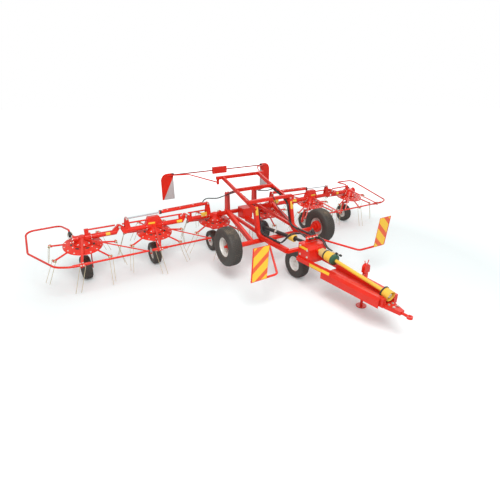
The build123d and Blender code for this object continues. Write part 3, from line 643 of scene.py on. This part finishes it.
# Front wheel: a ribbed implement tyre on a flat white disc wheel, held by five plated nuts. Its sealed
# hub turns on the stub of the one-sided fork.
FRONT_RADIUS = 0.275
FRONT_RIM = 0.138
FRONT = (0.08, ROW_Y - 1.88, FRONT_RADIUS)
white_rim = surface("white_rim_enamel", (0.84, 0.83, 0.80), coat=0.3, gloss=0.3, dust=0.15)
front_tyre = tyre(FRONT_RADIUS, width=0.19, rim=FRONT_RIM, blocks=42, rows=5)
place = wheel_place(FRONT, -1)
front_tyre.matrix_world = place
settle(front_tyre, "ribbed_front_tyre", rubber, "front_wheel", angle=34)
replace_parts(front_tyre, "front_tyre")
front_rim = joined([
    rim_band(FRONT_RIM, half=0.068), rim_disc(outer=0.128, hub=0.036, seat=0.036, dish=0.006)
])
front_rim.matrix_world = place
settle(front_rim, "front_disc_wheel", white_rim, "front_wheel")
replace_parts(front_rim, "front_rim")
front_hub = hub_boss(radius=0.04, foot=-0.05, top=0.062)
front_hub.matrix_world = place
settle(front_hub, "front_hub", pale_rim, "front_wheel")
nut_ring = ring_of(5, radius=0.058, height=0.041)
nuts = joined(copied(small_bolt, [place @ spot for spot in nut_ring]))
settle(nuts, "front_wheel_nuts", zinc, "front_wheel")

# Guard tubes: each is clamped by two pairs of bolts where its flat stay meets the sleeve, and the
# outer tube's tail sits in a black rubber mount on a bracket of the gear housing.
black_rubber = surface("black_rubber", (0.016, 0.016, 0.017), gloss=0.55, dust=0.25)
GUARD = (-0.8, 0.665)
GUARD_FOOT = 0.16
CLAMP_HALF = 0.029
TAIL = Vector((3.405, ROW_Y + 0.19, 0.845))
TAIL_BEND = Vector((3.406, ROW_Y + 0.29, 0.922))


def plate(size, centre, edge=0.002, segments=2):
    """A plate or block with all its edges rounded."""
    deselect()
    bpy.ops.mesh.primitive_cube_add(size=1, location=centre)
    bpy.context.object.scale = size
    bake_place()
    bpy.ops.object.mode_set(mode="EDIT")
    bpy.ops.mesh.select_all(action="SELECT")
    bpy.ops.mesh.bevel(offset=edge, segments=segments, affect="EDGES")
    bpy.ops.object.mode_set(mode="OBJECT")
    return bpy.context.object


for number, carrier in enumerate(CARRIERS, 1):
    if carrier == "root":
        continue
    side = side_of(number)
    foot = Vector((rotor_x(number) + side * GUARD_FOOT, ROW_Y + GUARD[0], GUARD[1]))
    heads = []
    for end in (-0.019, 0.019):
        heads.append(facing(foot + Vector((end, -CLAMP_HALF, 0)), (0, -1, 0)))
        heads.append(facing(foot + Vector((end, 0, CLAMP_HALF)), (0, 0, 1)))
    settle(joined(copied(small_bolt, heads)), f"guard_clamp_bolts_{number}", zinc, carrier)
for side_name, side in SIDES:
    tail = on_side(TAIL, side)
    rise = on_side(TAIL_BEND, side) - tail
    sleeve = lathed(
        ((0.0172, 0.02), (0.024, 0.02), (0.026, 0.024), (0.0235, 0.07), (0.0205, 0.078), (0.0172, 0.078),
         (0.0172, 0.02)), 28
    )
    sleeve.matrix_world = facing(tail, rise)
    mount = plate((0.062, 0.066, 0.058), tail, 0.01, 3)
    settle(joined([mount, sleeve]), f"guard_tail_mount_{side_name}", black_rubber, f"wing_outer_{side_name}")

# Fold cylinders: red barrels with a dark gland nut, hard-chromed rods and pinned eyes. A steel pipe
# is clipped along each barrel to its far port.
chrome = surface("hard_chrome", (0.60, 0.62, 0.64), metallic=1.0, gloss=0.14, dust=0.0, bump=0.0)
PIVOT = Vector((0.8, ROW_Y, 1.1))
EYE = Vector((2.45, ROW_Y, 1.05))
PORTS = (0.955, 0.105)


def barrel_line(side):
    """The barrel's two ends, its place and the upward direction square to it."""
    start, end = on_side(PIVOT, side), on_side(EYE, side)
    line = facing(start, end - start)
    up = line.to_3x3().inverted() @ Vector((0, -0.45, 1))
    up.z = 0
    return start, end, line, up.normalized()


for side_name, side in SIDES:
    paint_node(f"cylinder_rod_{side_name}", chrome)
    start, end, line, up = barrel_line(side)
    barrel = f"barrel_{side_name}"
    gland = lathed(
        ((0.0155, 0.984), (0.037, 0.984), (0.0392, 0.987), (0.0392, 1.012), (0.036, 1.0198), (0.02, 1.0198),
         (0.0155, 1.012), (0.0155, 0.984)), 32
    )
    gland.matrix_world = line
    settle(gland, f"gland_nut_{side_name}", dark_nut_and_painted_shade, barrel)
    rise = [line @ (up * off + Vector((0, 0, along))) for off, along in (
        (0.034, 0.955), (0.046, 0.955), (0.050, 0.95), (0.050, 0.90), (0.050, 0.5), (0.050, 0.16),
        (0.050, 0.11), (0.046, 0.105), (0.034, 0.105),
    )]
    pipe = bent_wire(rise, radius=0.006, per_point=4)
    settle(pipe, f"barrel_pipe_{side_name}", enamel, barrel, angle=60)
    ports = []
    for along in PORTS:
        port = lathed(((0.013, 0.026), (0.013, 0.041), (0.009, 0.043), (0.009, 0.049), (POLE, 0.049)), 6)
        port.matrix_world = line @ Matrix.Translation((0, 0, along)) @ facing((0, 0, 0), up)
        ports.append(port)
    for along in (0.32, 0.6, 0.86):
        ports.append(placed(small_bolt, line @ Matrix.Translation((0, 0, along)) @ facing(up * 0.031, up)))
    settle(joined(ports), f"barrel_ports_{side_name}", zinc, barrel)
    for place_name, spot, carrier in (
        ("barrel_pivot", start, "root"), ("rod_eye", end, f"wing_inner_{side_name}")
    ):
        spots = [facing(spot + Vector((0, face * 0.038, 0)), (0, face, 0)) for face in (-1, 1)]
        settle(joined(copied(large_bolt, spots)), f"{place_name}_bolts_{side_name}", zinc, carrier)

# Drivelines: black moulded bells and tube over the shaft between headstock and gearbox, and over
# the drawbar a tan ribbed cone, yellow tube and yellow bell with black and green collars.
black_plastic = surface("black_guard_plastic", (0.014, 0.014, 0.015), gloss=0.4, dust=0.2)
yellow_plastic = surface("yellow_guard_plastic", (0.86, 0.52, 0.055), gloss=0.42, dust=0.12)
tan_plastic = surface("tan_cone_plastic", (0.62, 0.42, 0.16), gloss=0.5, dust=0.15)
green_plastic = surface("green_collar_plastic", (0.02, 0.09, 0.045), gloss=0.45, dust=0.1)
paint_node("rear_driveshaft", black_plastic)
paint_node("pto_shaft_guard", yellow_plastic)
REAR_BACK = Vector((0, ROW_Y - 0.7, 0.68))
REAR_FRONT = Vector((0, ROW_Y - 2.22, 0.803))
rear_line = facing(REAR_BACK, REAR_FRONT - REAR_BACK)


def collar(profile, sides, line, name, material):
    """A moulded ring or sleeve on a driveline."""
    made = lathed(profile, sides)
    made.matrix_world = line
    settle(made, name, material, "root", angle=34)


RIB_COUNT = 7
RIB_START = 0.022
RIB_PITCH = 0.024
RIB_NARROW = 0.0615
RIB_WIDE = 0.1045
ribs = []
for step in range(RIB_COUNT):
    low = RIB_START + step * RIB_PITCH
    wide = RIB_NARROW + (RIB_WIDE - RIB_NARROW) * step / (RIB_COUNT - 1)
    ribs.append(lathed(
        ((wide - 0.018, low), (wide, low), (wide + 0.003, low + 0.003), (wide + 0.003, low + 0.007),
         (wide, low + 0.01), (wide - 0.018, low + 0.01), (wide - 0.018, low)), 56
    ))
rib_set = joined(ribs)
rib_set.matrix_world = rear_line
settle(rib_set, "rear_bell_ribs", black_plastic, "root", angle=34)
collar(
    ((0.036, 1.02), (0.05, 1.03), (0.0605, 1.045), (0.0685, 1.16), (0.0685, 1.18), (0.052, 1.2), (0.036, 1.2),
     (0.036, 1.02)), 56, rear_line, "rear_shaft_cone", yellow_plastic
)
collar(
    ((0.036, 0.6), (0.0385, 0.602), (0.0385, 0.64), (0.036, 0.642), (0.036, 0.6)), 40, rear_line,
    "rear_shaft_band", zinc
)

PTO_BACK = Vector((0, ROW_Y - 2.54, 0.775))
PTO_FRONT = Vector((0, ROW_Y - 3.88, 0.64))
pto_line = facing(PTO_BACK, PTO_FRONT - PTO_BACK)


def ribbed(start, end, first, last, count, inner):
    """Profile of a bellows between two stations, each rib standing a little proud."""
    run, step = [(inner, start)], (end - start) / count
    for rib in range(count):
        low, wide = start + rib * step, first + (last - first) * rib / count
        run += [(wide, low + step * 0.1), (wide + 0.003, low + step * 0.25)]
        run += [(wide + 0.003, low + step * 0.7), (wide, low + step * 0.85)]
    return run + [(inner, end), (inner, start)]


collar(ribbed(0.05, 0.157, 0.066, 0.075, 6, 0.031), 64, pto_line, "pto_ribbed_cone", tan_plastic)
collar(
    ((0.07, 0.157), (0.080, 0.157), (0.082, 0.16), (0.082, 0.18), (0.080, 0.183), (0.07, 0.183),
     (0.07, 0.157)), 64, pto_line, "pto_black_ring", black_plastic
)
collar(
    ribbed(0.183, 0.327, 0.078, 0.0842, 7, 0.068), 64, pto_line, "pto_yellow_band", yellow_plastic,
)
collar(
    ((0.07, 0.327), (0.088, 0.327), (0.0895, 0.331), (0.0895, 0.372), (0.084, 0.378), (0.064, 0.389),
     (0.031, 0.396), (0.031, 0.391), (0.07, 0.38), (0.07, 0.327)), 64, pto_line, "pto_green_ring",
    green_plastic
)
BELL_TILT = radians(12)
BELL_LINE = facing(PTO_FRONT + Vector((0, 0.014, 0.002)), (0, -cos(BELL_TILT), -sin(BELL_TILT)))
collar(
    ((0.07, 0.0165), (0.0825, 0.0165), (0.0845, 0.019), (0.0845, 0.037), (0.0825, 0.0395), (0.07, 0.0395),
     (0.07, 0.0165)), 64, BELL_LINE, "bell_black_ring", black_plastic
)
collar(
    ((0.072, 0.141), (0.0795, 0.141), (0.0805, 0.144), (0.0805, 0.149), (0.0785, 0.1515), (0.072, 0.1515),
     (0.070, 0.149), (0.072, 0.141)), 64, BELL_LINE, "bell_mouth_bead", yellow_plastic
)
collar(
    ((0.0175, 0.06), (0.033, 0.06), (0.033, 0.098), (0.029, 0.101), (0.029, 0.112), (0.033, 0.115),
     (0.033, 0.131), (0.031, 0.133), (0.0175, 0.133), (0.0175, 0.06)), 40, BELL_LINE, "shaft_yoke", zinc
)

# Blank labels: yellow film with nothing on it, laid round the beams and flat on the covers, the
# headstock and a drawbar rail, and yellow plastic plates screwed upright on the posts and the beam.
label_film = surface("yellow_label_film", (0.90, 0.55, 0.03), gloss=0.35, dust=0.05, bump=0.0)
BEAM_RADIUS = 0.045
BEAM_PLATE = Vector((0.905, ROW_Y - 0.0442, 0.8905))
POST_FACE = Vector((0.4, ROW_Y - 1.247, 1.18))
POST_LEAN = Matrix.Rotation(-0.203, 4, "X")
RAIL_SKEW = Matrix.Rotation(0.0391, 4, "Z")
SKIRT_LEAN = Matrix.Rotation(radians(24.2), 4, "Y")
FILM = 0.0012
FILM_EDGE = 0.0004
FLAT_LABELS = {
    "headstock_label": ((0.22, 0.045), Matrix.Translation((-0.1856, ROW_Y - 2.35, 0.795))),
    "drawbar_label": ((0.294, 0.058), Matrix.Translation((-0.2023, ROW_Y - 2.692, 0.568)) @ RAIL_SKEW),
    "cover_edge_label": (
        (0.17, 0.044), Matrix.Translation((-0.208, ROW_Y - 2.928, 0.585)) @ RAIL_SKEW @ SKIRT_LEAN
    ),
}


def beam_label(x, length, name, carrier):
    """Film wrapped on the front of a beam: a tube's wall trimmed to the arc that it covers."""
    inner, outer = BEAM_RADIUS + 0.0002, BEAM_RADIUS + 0.0009
    wrap = lathed(((inner, 0), (outer, 0), (outer, length), (inner, length), (inner, 0)), 72)
    wrap.matrix_world = facing((x - length / 2, ROW_Y, BEAM_Z), (1, 0, 0))
    pick(wrap)
    bake_place()
    for square in ((0, 1.2, 1), (0, 0.55, -1)):
        bpy.ops.object.mode_set(mode="EDIT")
        bpy.ops.mesh.select_all(action="SELECT")
        bpy.ops.mesh.bisect(
            plane_co=(x, ROW_Y, BEAM_Z), plane_no=square, use_fill=True, clear_outer=True
        )
        bpy.ops.object.mode_set(mode="OBJECT")
    settle(wrap, name, label_film, carrier)


for side_name, side in SIDES:
    beam_label(side * 2.81, 0.075, f"outer_beam_label_{side_name}", f"wing_outer_{side_name}")
    beam_label(side * 1.44, 0.11, f"inner_beam_label_{side_name}", f"wing_inner_{side_name}")
    middle = on_side(BEAM_PLATE, side)
    upright = plate((0.13, 0.005, 0.088), middle)
    settle(upright, f"beam_plate_{side_name}", yellow_plastic, "root")
    heads = [facing(middle + Vector((end, -0.0025, -0.03)), (0, -1, 0)) for end in (-0.045, 0.045)]
    settle(joined(copied(small_bolt, heads)), f"beam_plate_bolts_{side_name}", zinc, "root")
    cover = plate((0.13, FILM, 0.034), (side * 2.0, ROW_Y - 0.0466, 0.898), FILM_EDGE, 1)
    settle(cover, f"cover_label_{side_name}", label_film, f"wing_inner_{side_name}")
    reflector = plate((0.058, 0.008, 0.15), (0, 0, 0), 0.003)
    reflector.matrix_world = Matrix.Translation(on_side(POST_FACE, side)) @ POST_LEAN
    settle(reflector, f"post_reflector_{side_name}", yellow_plastic, "root")
for name, ((length, height), place) in FLAT_LABELS.items():
    label = plate((FILM, length, height), (0, 0, 0), FILM_EDGE, 1)
    label.matrix_world = place
    settle(label, name, label_film, "root")

# Hydraulic hoses: black rubber, strapped down. Four run from a rack of quick couplers on the headstock
# over the frame to its top, one more crosses to each fold cylinder and two lie ready for the tractor.
# Two thin cables serve the lights.
hose_rubber = surface("hose_rubber", (0.013, 0.013, 0.014), gloss=0.42, dust=0.2, bump=0.03)
HOSE = 0.0105
HOSE_GAP = 0.026
RACK = Vector((0.03, ROW_Y - 2.3, 0.925))
STATIONS = {"right": (-0.07, -0.01), "left": (0.13, 0.07)}
FRAME_RUN = (
    (0.385, -2.0, 0.80), (0.385, -1.9, 0.7815), (0.385, -1.6, 0.7815), (0.385, -1.42, 0.7815),
    (0.36, -1.31, 0.81), (0.353, -1.245, 1.0), (0.353, -1.2, 1.2), (0.38, -1.1, 1.24),
    (0.4, -0.9, 1.31), (0.4, -0.62, 1.385),
)
TOP_RUN = ((0.385, -0.46, 1.38), (0.366, -0.3, 1.33), (0.366, -0.12, 1.25), (0.39, -0.07, 1.225))
rack = plate((0.27, 0.008, 0.104), (RACK.x, RACK.y, 0.9045), 0.003)
settle(rack, "coupler_rack", enamel, "root")
coupler_body = lathed(
    ((POLE, -0.03), (0.009, -0.03), (0.011, -0.027), (0.011, -0.006), (0.015, -0.004), (0.015, 0.012),
     (0.0125, 0.014), (0.0125, 0.03), (0.0155, 0.032), (0.0155, 0.056), (0.0125, 0.058), (POLE, 0.058)), 24
)
dust_cap = lathed(
    ((POLE, 0.05), (0.0172, 0.05), (0.0185, 0.053), (0.0185, 0.078), (0.0165, 0.083), (POLE, 0.083)), 24
)
couplers, green_caps, black_caps = [], [], []
for x, caps in zip(sorted(STATIONS["right"] + STATIONS["left"]), (black_caps, green_caps) * 2):
    spot = facing((x, RACK.y, RACK.z), (0, -1, 0.12))
    couplers.append(placed(coupler_body, spot))
    caps.append(placed(dust_cap, spot))


def hose(points, name, radius=HOSE):
    """A hose along its points, each given from the rotor row."""
    run = bent_wire([(x, ROW_Y + y, z) for x, y, z in points], radius, sides=3, per_point=5)
    settle(run, name, hose_rubber, "root", angle=60)


for side_name, side in SIDES:
    for line_number, (x, shift) in enumerate(zip(STATIONS[side_name], (0.0, HOSE_GAP)), 1):
        rise = 0.985 - shift
        run = [(x, -2.27, 0.925), (x, -2.22, 0.93)]
        run += [(x + side * 0.03, -2.15, rise), (side * 0.24, -2.06, rise)]
        run += [(side * (out - shift), y, z) for out, y, z in FRAME_RUN]
        run += [(side * (out + shift), y, z) for out, y, z in TOP_RUN]
        hose(run, f"supply_hose_{side_name}_{line_number}")
    straps = []
    for y in (-1.5, -1.8):
        straps.append(plate((0.066, 0.02, 0.03), (side * 0.372, ROW_Y + y, 0.785), 0.006))
    for y, z in ((-0.8, 1.337), (-0.68, 1.369)):
        straps.append(plate((0.034, 0.02, 0.056), (side * 0.395, ROW_Y + y, z), 0.006))
    settle(joined(straps), f"hose_straps_{side_name}", black_plastic, "root")
    _, _, line, up = barrel_line(side)
    root_end = Vector((side * 0.41, ROW_Y - 0.065, 1.222))
    port = line @ (up * 0.052 + Vector((0, 0, PORTS[1])))
    above = line @ (up * 0.092 + Vector((0, 0, 0.1)))
    slack = [
        root_end, root_end + Vector((side * 0.08, -0.005, -0.012)), Vector((side * 0.6, ROW_Y - 0.08, 1.19)),
        Vector((side * 0.74, ROW_Y - 0.085, 1.21)), Vector((side * 0.84, ROW_Y - 0.075, 1.225)), above, port,
    ]
    flexible = bent_wire(slack, HOSE, sides=3, per_point=6)
    settle(flexible, f"barrel_hose_{side_name}", hose_rubber, None, angle=60)
    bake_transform(flexible)
for number, (x, y) in enumerate(((0.045, 0.0), (0.075, 0.06)), 1):
    hose(
        ((x + 0.07, -2.3, 0.895), (x + 0.085, -2.4, 0.915), (x + 0.06, -2.5, 0.9), (x + 0.01, -2.6, 0.862),
         (x, -2.7, 0.847 - y * 0.3), (x, -2.8 - y, 0.84 - y * 0.3)), f"tractor_hose_{number}"
    )
    spot = facing((x, ROW_Y - 2.82 - y, 0.838 - y * 0.3), (0, -1, -0.06))
    couplers.append(placed(coupler_body, spot))
    black_caps.append(placed(dust_cap, spot))
settle(joined(couplers), "quick_couplers", zinc, "root")
settle(joined(green_caps), "green_dust_caps", green_plastic, "root")
settle(joined(black_caps), "black_dust_caps", black_plastic, "root")
discard(coupler_body, dust_cap)
hose(
    ((0.05, -1.1, 1.362), (0.05, -1.16, 1.35), (0.03, -1.24, 1.24), (0.01, -1.6, 1.06), (0.0, -2.0, 0.93),
     (0.0, -2.2, 0.9), (-0.04, -2.26, 0.87)), "lamp_cable", 0.007
)
hose(
    ((-1.16, 0.945, 1.5595), (-0.6, 0.945, 1.5595), (-0.2, 0.945, 1.5595), (0.2, 0.945, 1.5595),
     (0.6, 0.945, 1.5595), (1.16, 0.945, 1.5595)), "light_bar_cable", 0.0045
)


# Warning boards: flat red sheet, faced with yellow reflective film in broad diagonal stripes. The rear
# pair is grey sheet, and a red bracket plate covers the upper inner part of its front side.
def build_stripe_film():
    values = {"Width": 0.1, "Slope": 1.0, "Shift": 0.0, "Share": 0.5}
    group, given, out = film_group("diagonal_stripes", ("Colour", "Second"), values)
    place = group.nodes.new("ShaderNodeTexCoord")
    parts = group.nodes.new("ShaderNodeSeparateXYZ")
    sloped = add_node(group, "ShaderNodeMath", operation="MULTIPLY_ADD")
    shifted = add_node(group, "ShaderNodeMath", operation="ADD")
    counted = add_node(group, "ShaderNodeMath", operation="DIVIDE")
    wave = add_node(group, "ShaderNodeMath", operation="FRACT")
    band = add_node(group, "ShaderNodeMath", operation="GREATER_THAN")
    cells = add_node(group, "ShaderNodeTexVoronoi", scale=420.0)
    mixed = add_node(group, "ShaderNodeMix", data_type="RGBA")
    colours = colour_sockets(mixed.inputs)
    gloss = add_node(group, "ShaderNodeMapRange", to_min=0.24, to_max=0.4)
    wire_up(group, (
        (place.outputs["Object"], parts.inputs[0]),
        (parts.outputs["X"], sloped.inputs[0]), (given.outputs["Slope"], sloped.inputs[1]),
        (parts.outputs["Z"], sloped.inputs[2]),
        (sloped.outputs[0], shifted.inputs[0]), (given.outputs["Shift"], shifted.inputs[1]),
        (shifted.outputs[0], counted.inputs[0]), (given.outputs["Width"], counted.inputs[1]),
        (counted.outputs[0], wave.inputs[0]), (wave.outputs[0], band.inputs[0]),
        (given.outputs["Share"], band.inputs[1]),
        (place.outputs["Object"], cells.inputs["Vector"]),
        (band.outputs[0], mixed.inputs["Factor"]),
        (given.outputs["Colour"], colours[0]), (given.outputs["Second"], colours[1]),
        (colour_sockets(mixed.outputs)[0], out.inputs["Colour"]),
        (cells.outputs["Distance"], gloss.inputs["Value"]), (gloss.outputs[0], out.inputs["Roughness"]),
        (cells.outputs["Distance"], out.inputs["Height"]),
    ))
    return group


BOARD_CORNER = 0.15


def corner_plate(low, high, side):
    """Sheet filling a box, its outer top corner turned on a wide radius."""
    bpy.ops.mesh.primitive_cube_add(size=1, location=(low + high) / 2, scale=high - low)
    sheet = bpy.context.object
    pick(sheet)
    bake_place()
    outer = high.x if side > 0 else low.x
    bpy.ops.object.mode_set(mode="EDIT")
    bpy.ops.mesh.select_mode(type="EDGE")
    bpy.ops.mesh.select_all(action="DESELECT")
    bpy.ops.object.mode_set(mode="OBJECT")
    for edge in sheet.data.edges:
        ends = [sheet.data.vertices[i].co for i in edge.vertices]
        edge.select = all(abs(end.x - outer) < 0.001 and abs(end.z - high.z) < 0.001 for end in ends)
    bpy.ops.object.mode_set(mode="EDIT")
    bpy.ops.mesh.bevel(offset=BOARD_CORNER, segments=10, affect="EDGES")
    bpy.ops.object.mode_set(mode="OBJECT")
    return sheet


stripe_film = build_stripe_film()
STRIPE_YELLOW = (0.93, 0.55, 0.02)
STRIPE_RED = (0.82, 0.10, 0.02, 1)
STRIPE_PITCH = 0.27
STRIPE_SHARE = 0.63
STRIPE_SLOPE = 0.92
STRIPE_SHIFT = 0.262
FILM_INSET = 0.008
BRACKET_TIP = 0.03
BRACKET_DROP = 0.075
grey_film = surface("grey_back_film", (0.52, 0.50, 0.50), gloss=0.4, dust=0.1)
BOARD = Vector((1.295, ROW_Y - 2.687, 0.631))
BOARD_LEAN = Matrix.Rotation(radians(6), 4, "X")
for side_name, side in SIDES:
    striped = surface(
        f"striped_film_{side_name}", STRIPE_YELLOW, stripe_film, bump=0.02, second=STRIPE_RED,
        width=STRIPE_PITCH, slope=side * STRIPE_SLOPE, shift=STRIPE_SHIFT, share=STRIPE_SHARE
    )
    paint_node(f"warning_board_{side_name}", enamel)
    face = plate((0.256, FILM, 0.552), (side * -0.009, -0.0027, 0.282), FILM_EDGE, 1)
    face.matrix_world = Matrix.Translation(on_side(BOARD, side)) @ BOARD_LEAN
    settle(face, f"front_stripes_{side_name}", striped, "root")
    low, high = (Vector(corner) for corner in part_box(f"rear_board_{side_name}"))
    panel = corner_plate(low, high, side)
    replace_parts(settle(panel, f"rear_panel_{side_name}", grey_film, "root"), f"rear_board_{side_name}")
    bracket = corner_plate(low - Vector((0, 0.004, 0)), high - Vector((0, 0.0045, 0)), side)
    pick(bracket)
    bpy.ops.object.mode_set(mode="EDIT")
    bpy.ops.mesh.select_all(action="SELECT")
    inner, outer = (low.x, high.x) if side > 0 else (high.x, low.x)
    tip = Vector((outer - side * BRACKET_TIP, 0, low.z))
    slant = Vector((inner, 0, high.z - BRACKET_DROP)) - tip
    bpy.ops.mesh.bisect(
        plane_co=tip, plane_no=(slant.z * side, 0, -slant.x * side), use_fill=True, clear_inner=True
    )
    bpy.ops.object.mode_set(mode="OBJECT")
    settle(bracket, f"rear_bracket_{side_name}", enamel, "root")
    film = corner_plate(
        Vector((low.x + FILM_INSET, high.y + 0.0001, low.z + FILM_INSET)),
        Vector((high.x - FILM_INSET, high.y + 0.0001 + FILM, high.z - FILM_INSET)), side
    )
    settle(film, f"rear_stripes_{side_name}", striped, "root")
    knob = plate((0.05, 0.03, 0.026), (inner + side * 0.012, low.y - 0.02, high.z - 0.018), 0.004)
    settle(knob, f"board_clip_{side_name}", black_plastic, "root")

# Frame bolts: zinc-plated hexagon heads on the headstock's sides, on top of the drawbar's tongue and
# on both sides of the jack's sleeve. Each stands on its own washer, flat on the steel.
frame_bolts = []
for side_name, side in SIDES:
    for y, z in ((-2.27, 0.66), (-2.27, 0.82), (-2.45, 0.66), (-2.45, 0.78)):
        frame_bolts.append((large_bolt, facing((side * 0.185, ROW_Y + y, z), (side, 0, 0))))
    for y in (-4.03, -4.11):
        frame_bolts.append((large_bolt, facing((side * 0.04, ROW_Y + y, 0.505), (0, 0, 1))))
    for z in (0.43, 0.56):
        frame_bolts.append((small_bolt, facing((0.304 + side * 0.03, ROW_Y - 3.28, z), (side, 0, 0))))
heads = [placed(template, place) for template, place in frame_bolts]
settle(joined(heads), "frame_bolts", zinc, "root")
discard(small_bolt, large_bolt)

# Studio: a white floor that runs out into a white sky, so that no edge shows. A broad soft lamp hangs
# over the machine's front right, and a weaker, wider one behind its left lightens the shadows.
deselect()
bpy.ops.mesh.primitive_plane_add(size=160, location=(0, 0, -0.002))
floor = bpy.context.object
floor.name = "studio_floor"
white = bpy.data.materials.new("white_sweep")
white.use_nodes = True
tree = white.node_tree
matt = tree.nodes["Principled BSDF"]
matt.inputs["Base Color"].default_value = (0.84, 0.9, 0.9, 1)
matt.inputs["Roughness"].default_value = 0.95
matt.inputs["Specular IOR Level"].default_value = 0.0
place = tree.nodes.new("ShaderNodeTexCoord")
reach = add_node(tree, "ShaderNodeVectorMath", operation="LENGTH")
glow = add_node(tree, "ShaderNodeMapRange", from_min=4.0, from_max=11.0, to_min=0.1, to_max=1.0)
path = tree.nodes.new("ShaderNodeLightPath")
lift = add_node(tree, "ShaderNodeMath", operation="MULTIPLY")
wire_up(tree, (
    (place.outputs["Object"], reach.inputs[0]), (reach.outputs["Value"], glow.inputs["Value"]),
    (path.outputs["Is Camera Ray"], lift.inputs[0]), (glow.outputs[0], lift.inputs[1]),
    (lift.outputs[0], matt.inputs["Emission Strength"]),
))
matt.inputs["Emission Color"].default_value = (1, 1, 1, 1)
floor.data.materials.append(white)

world = bpy.data.worlds.new("studio")
bpy.context.scene.world = world
world.use_nodes = True
tree = world.node_tree
sky = tree.nodes["Background"]
sky.inputs["Color"].default_value = (1, 1, 1, 1)
path = tree.nodes.new("ShaderNodeLightPath")
seen = add_node(tree, "ShaderNodeMath", operation="MAXIMUM")
shown = add_node(tree, "ShaderNodeMath", operation="MAXIMUM")
strength = add_node(tree, "ShaderNodeMapRange", to_min=0.55, to_max=1.0)
wire_up(tree, (
    (path.outputs["Is Camera Ray"], seen.inputs[0]),
    (path.outputs["Is Glossy Ray"], seen.inputs[1]),
    (seen.outputs[0], shown.inputs[0]), (path.outputs["Is Transmission Ray"], shown.inputs[1]),
    (shown.outputs[0], strength.inputs["Value"]),
    (strength.outputs[0], sky.inputs["Strength"]),
))
LAMP_AIM = Vector((0, 0, 0.6))


def soft_lamp(where, size, watts):
    """A square lamp turned towards the machine's middle."""
    bpy.ops.object.light_add(type="AREA", location=where)
    lamp = bpy.context.object
    lamp.rotation_euler = (LAMP_AIM - lamp.location).to_track_quat("-Z", "Y").to_euler()
    lamp.data.size = size
    lamp.data.energy = watts


soft_lamp(where=(-3.5, -5.0, 7.5), size=4, watts=610)
soft_lamp(where=(6.5, 4.0, 6.5), size=7, watts=170)
bpy.context.scene.view_settings.view_transform = "Standard"
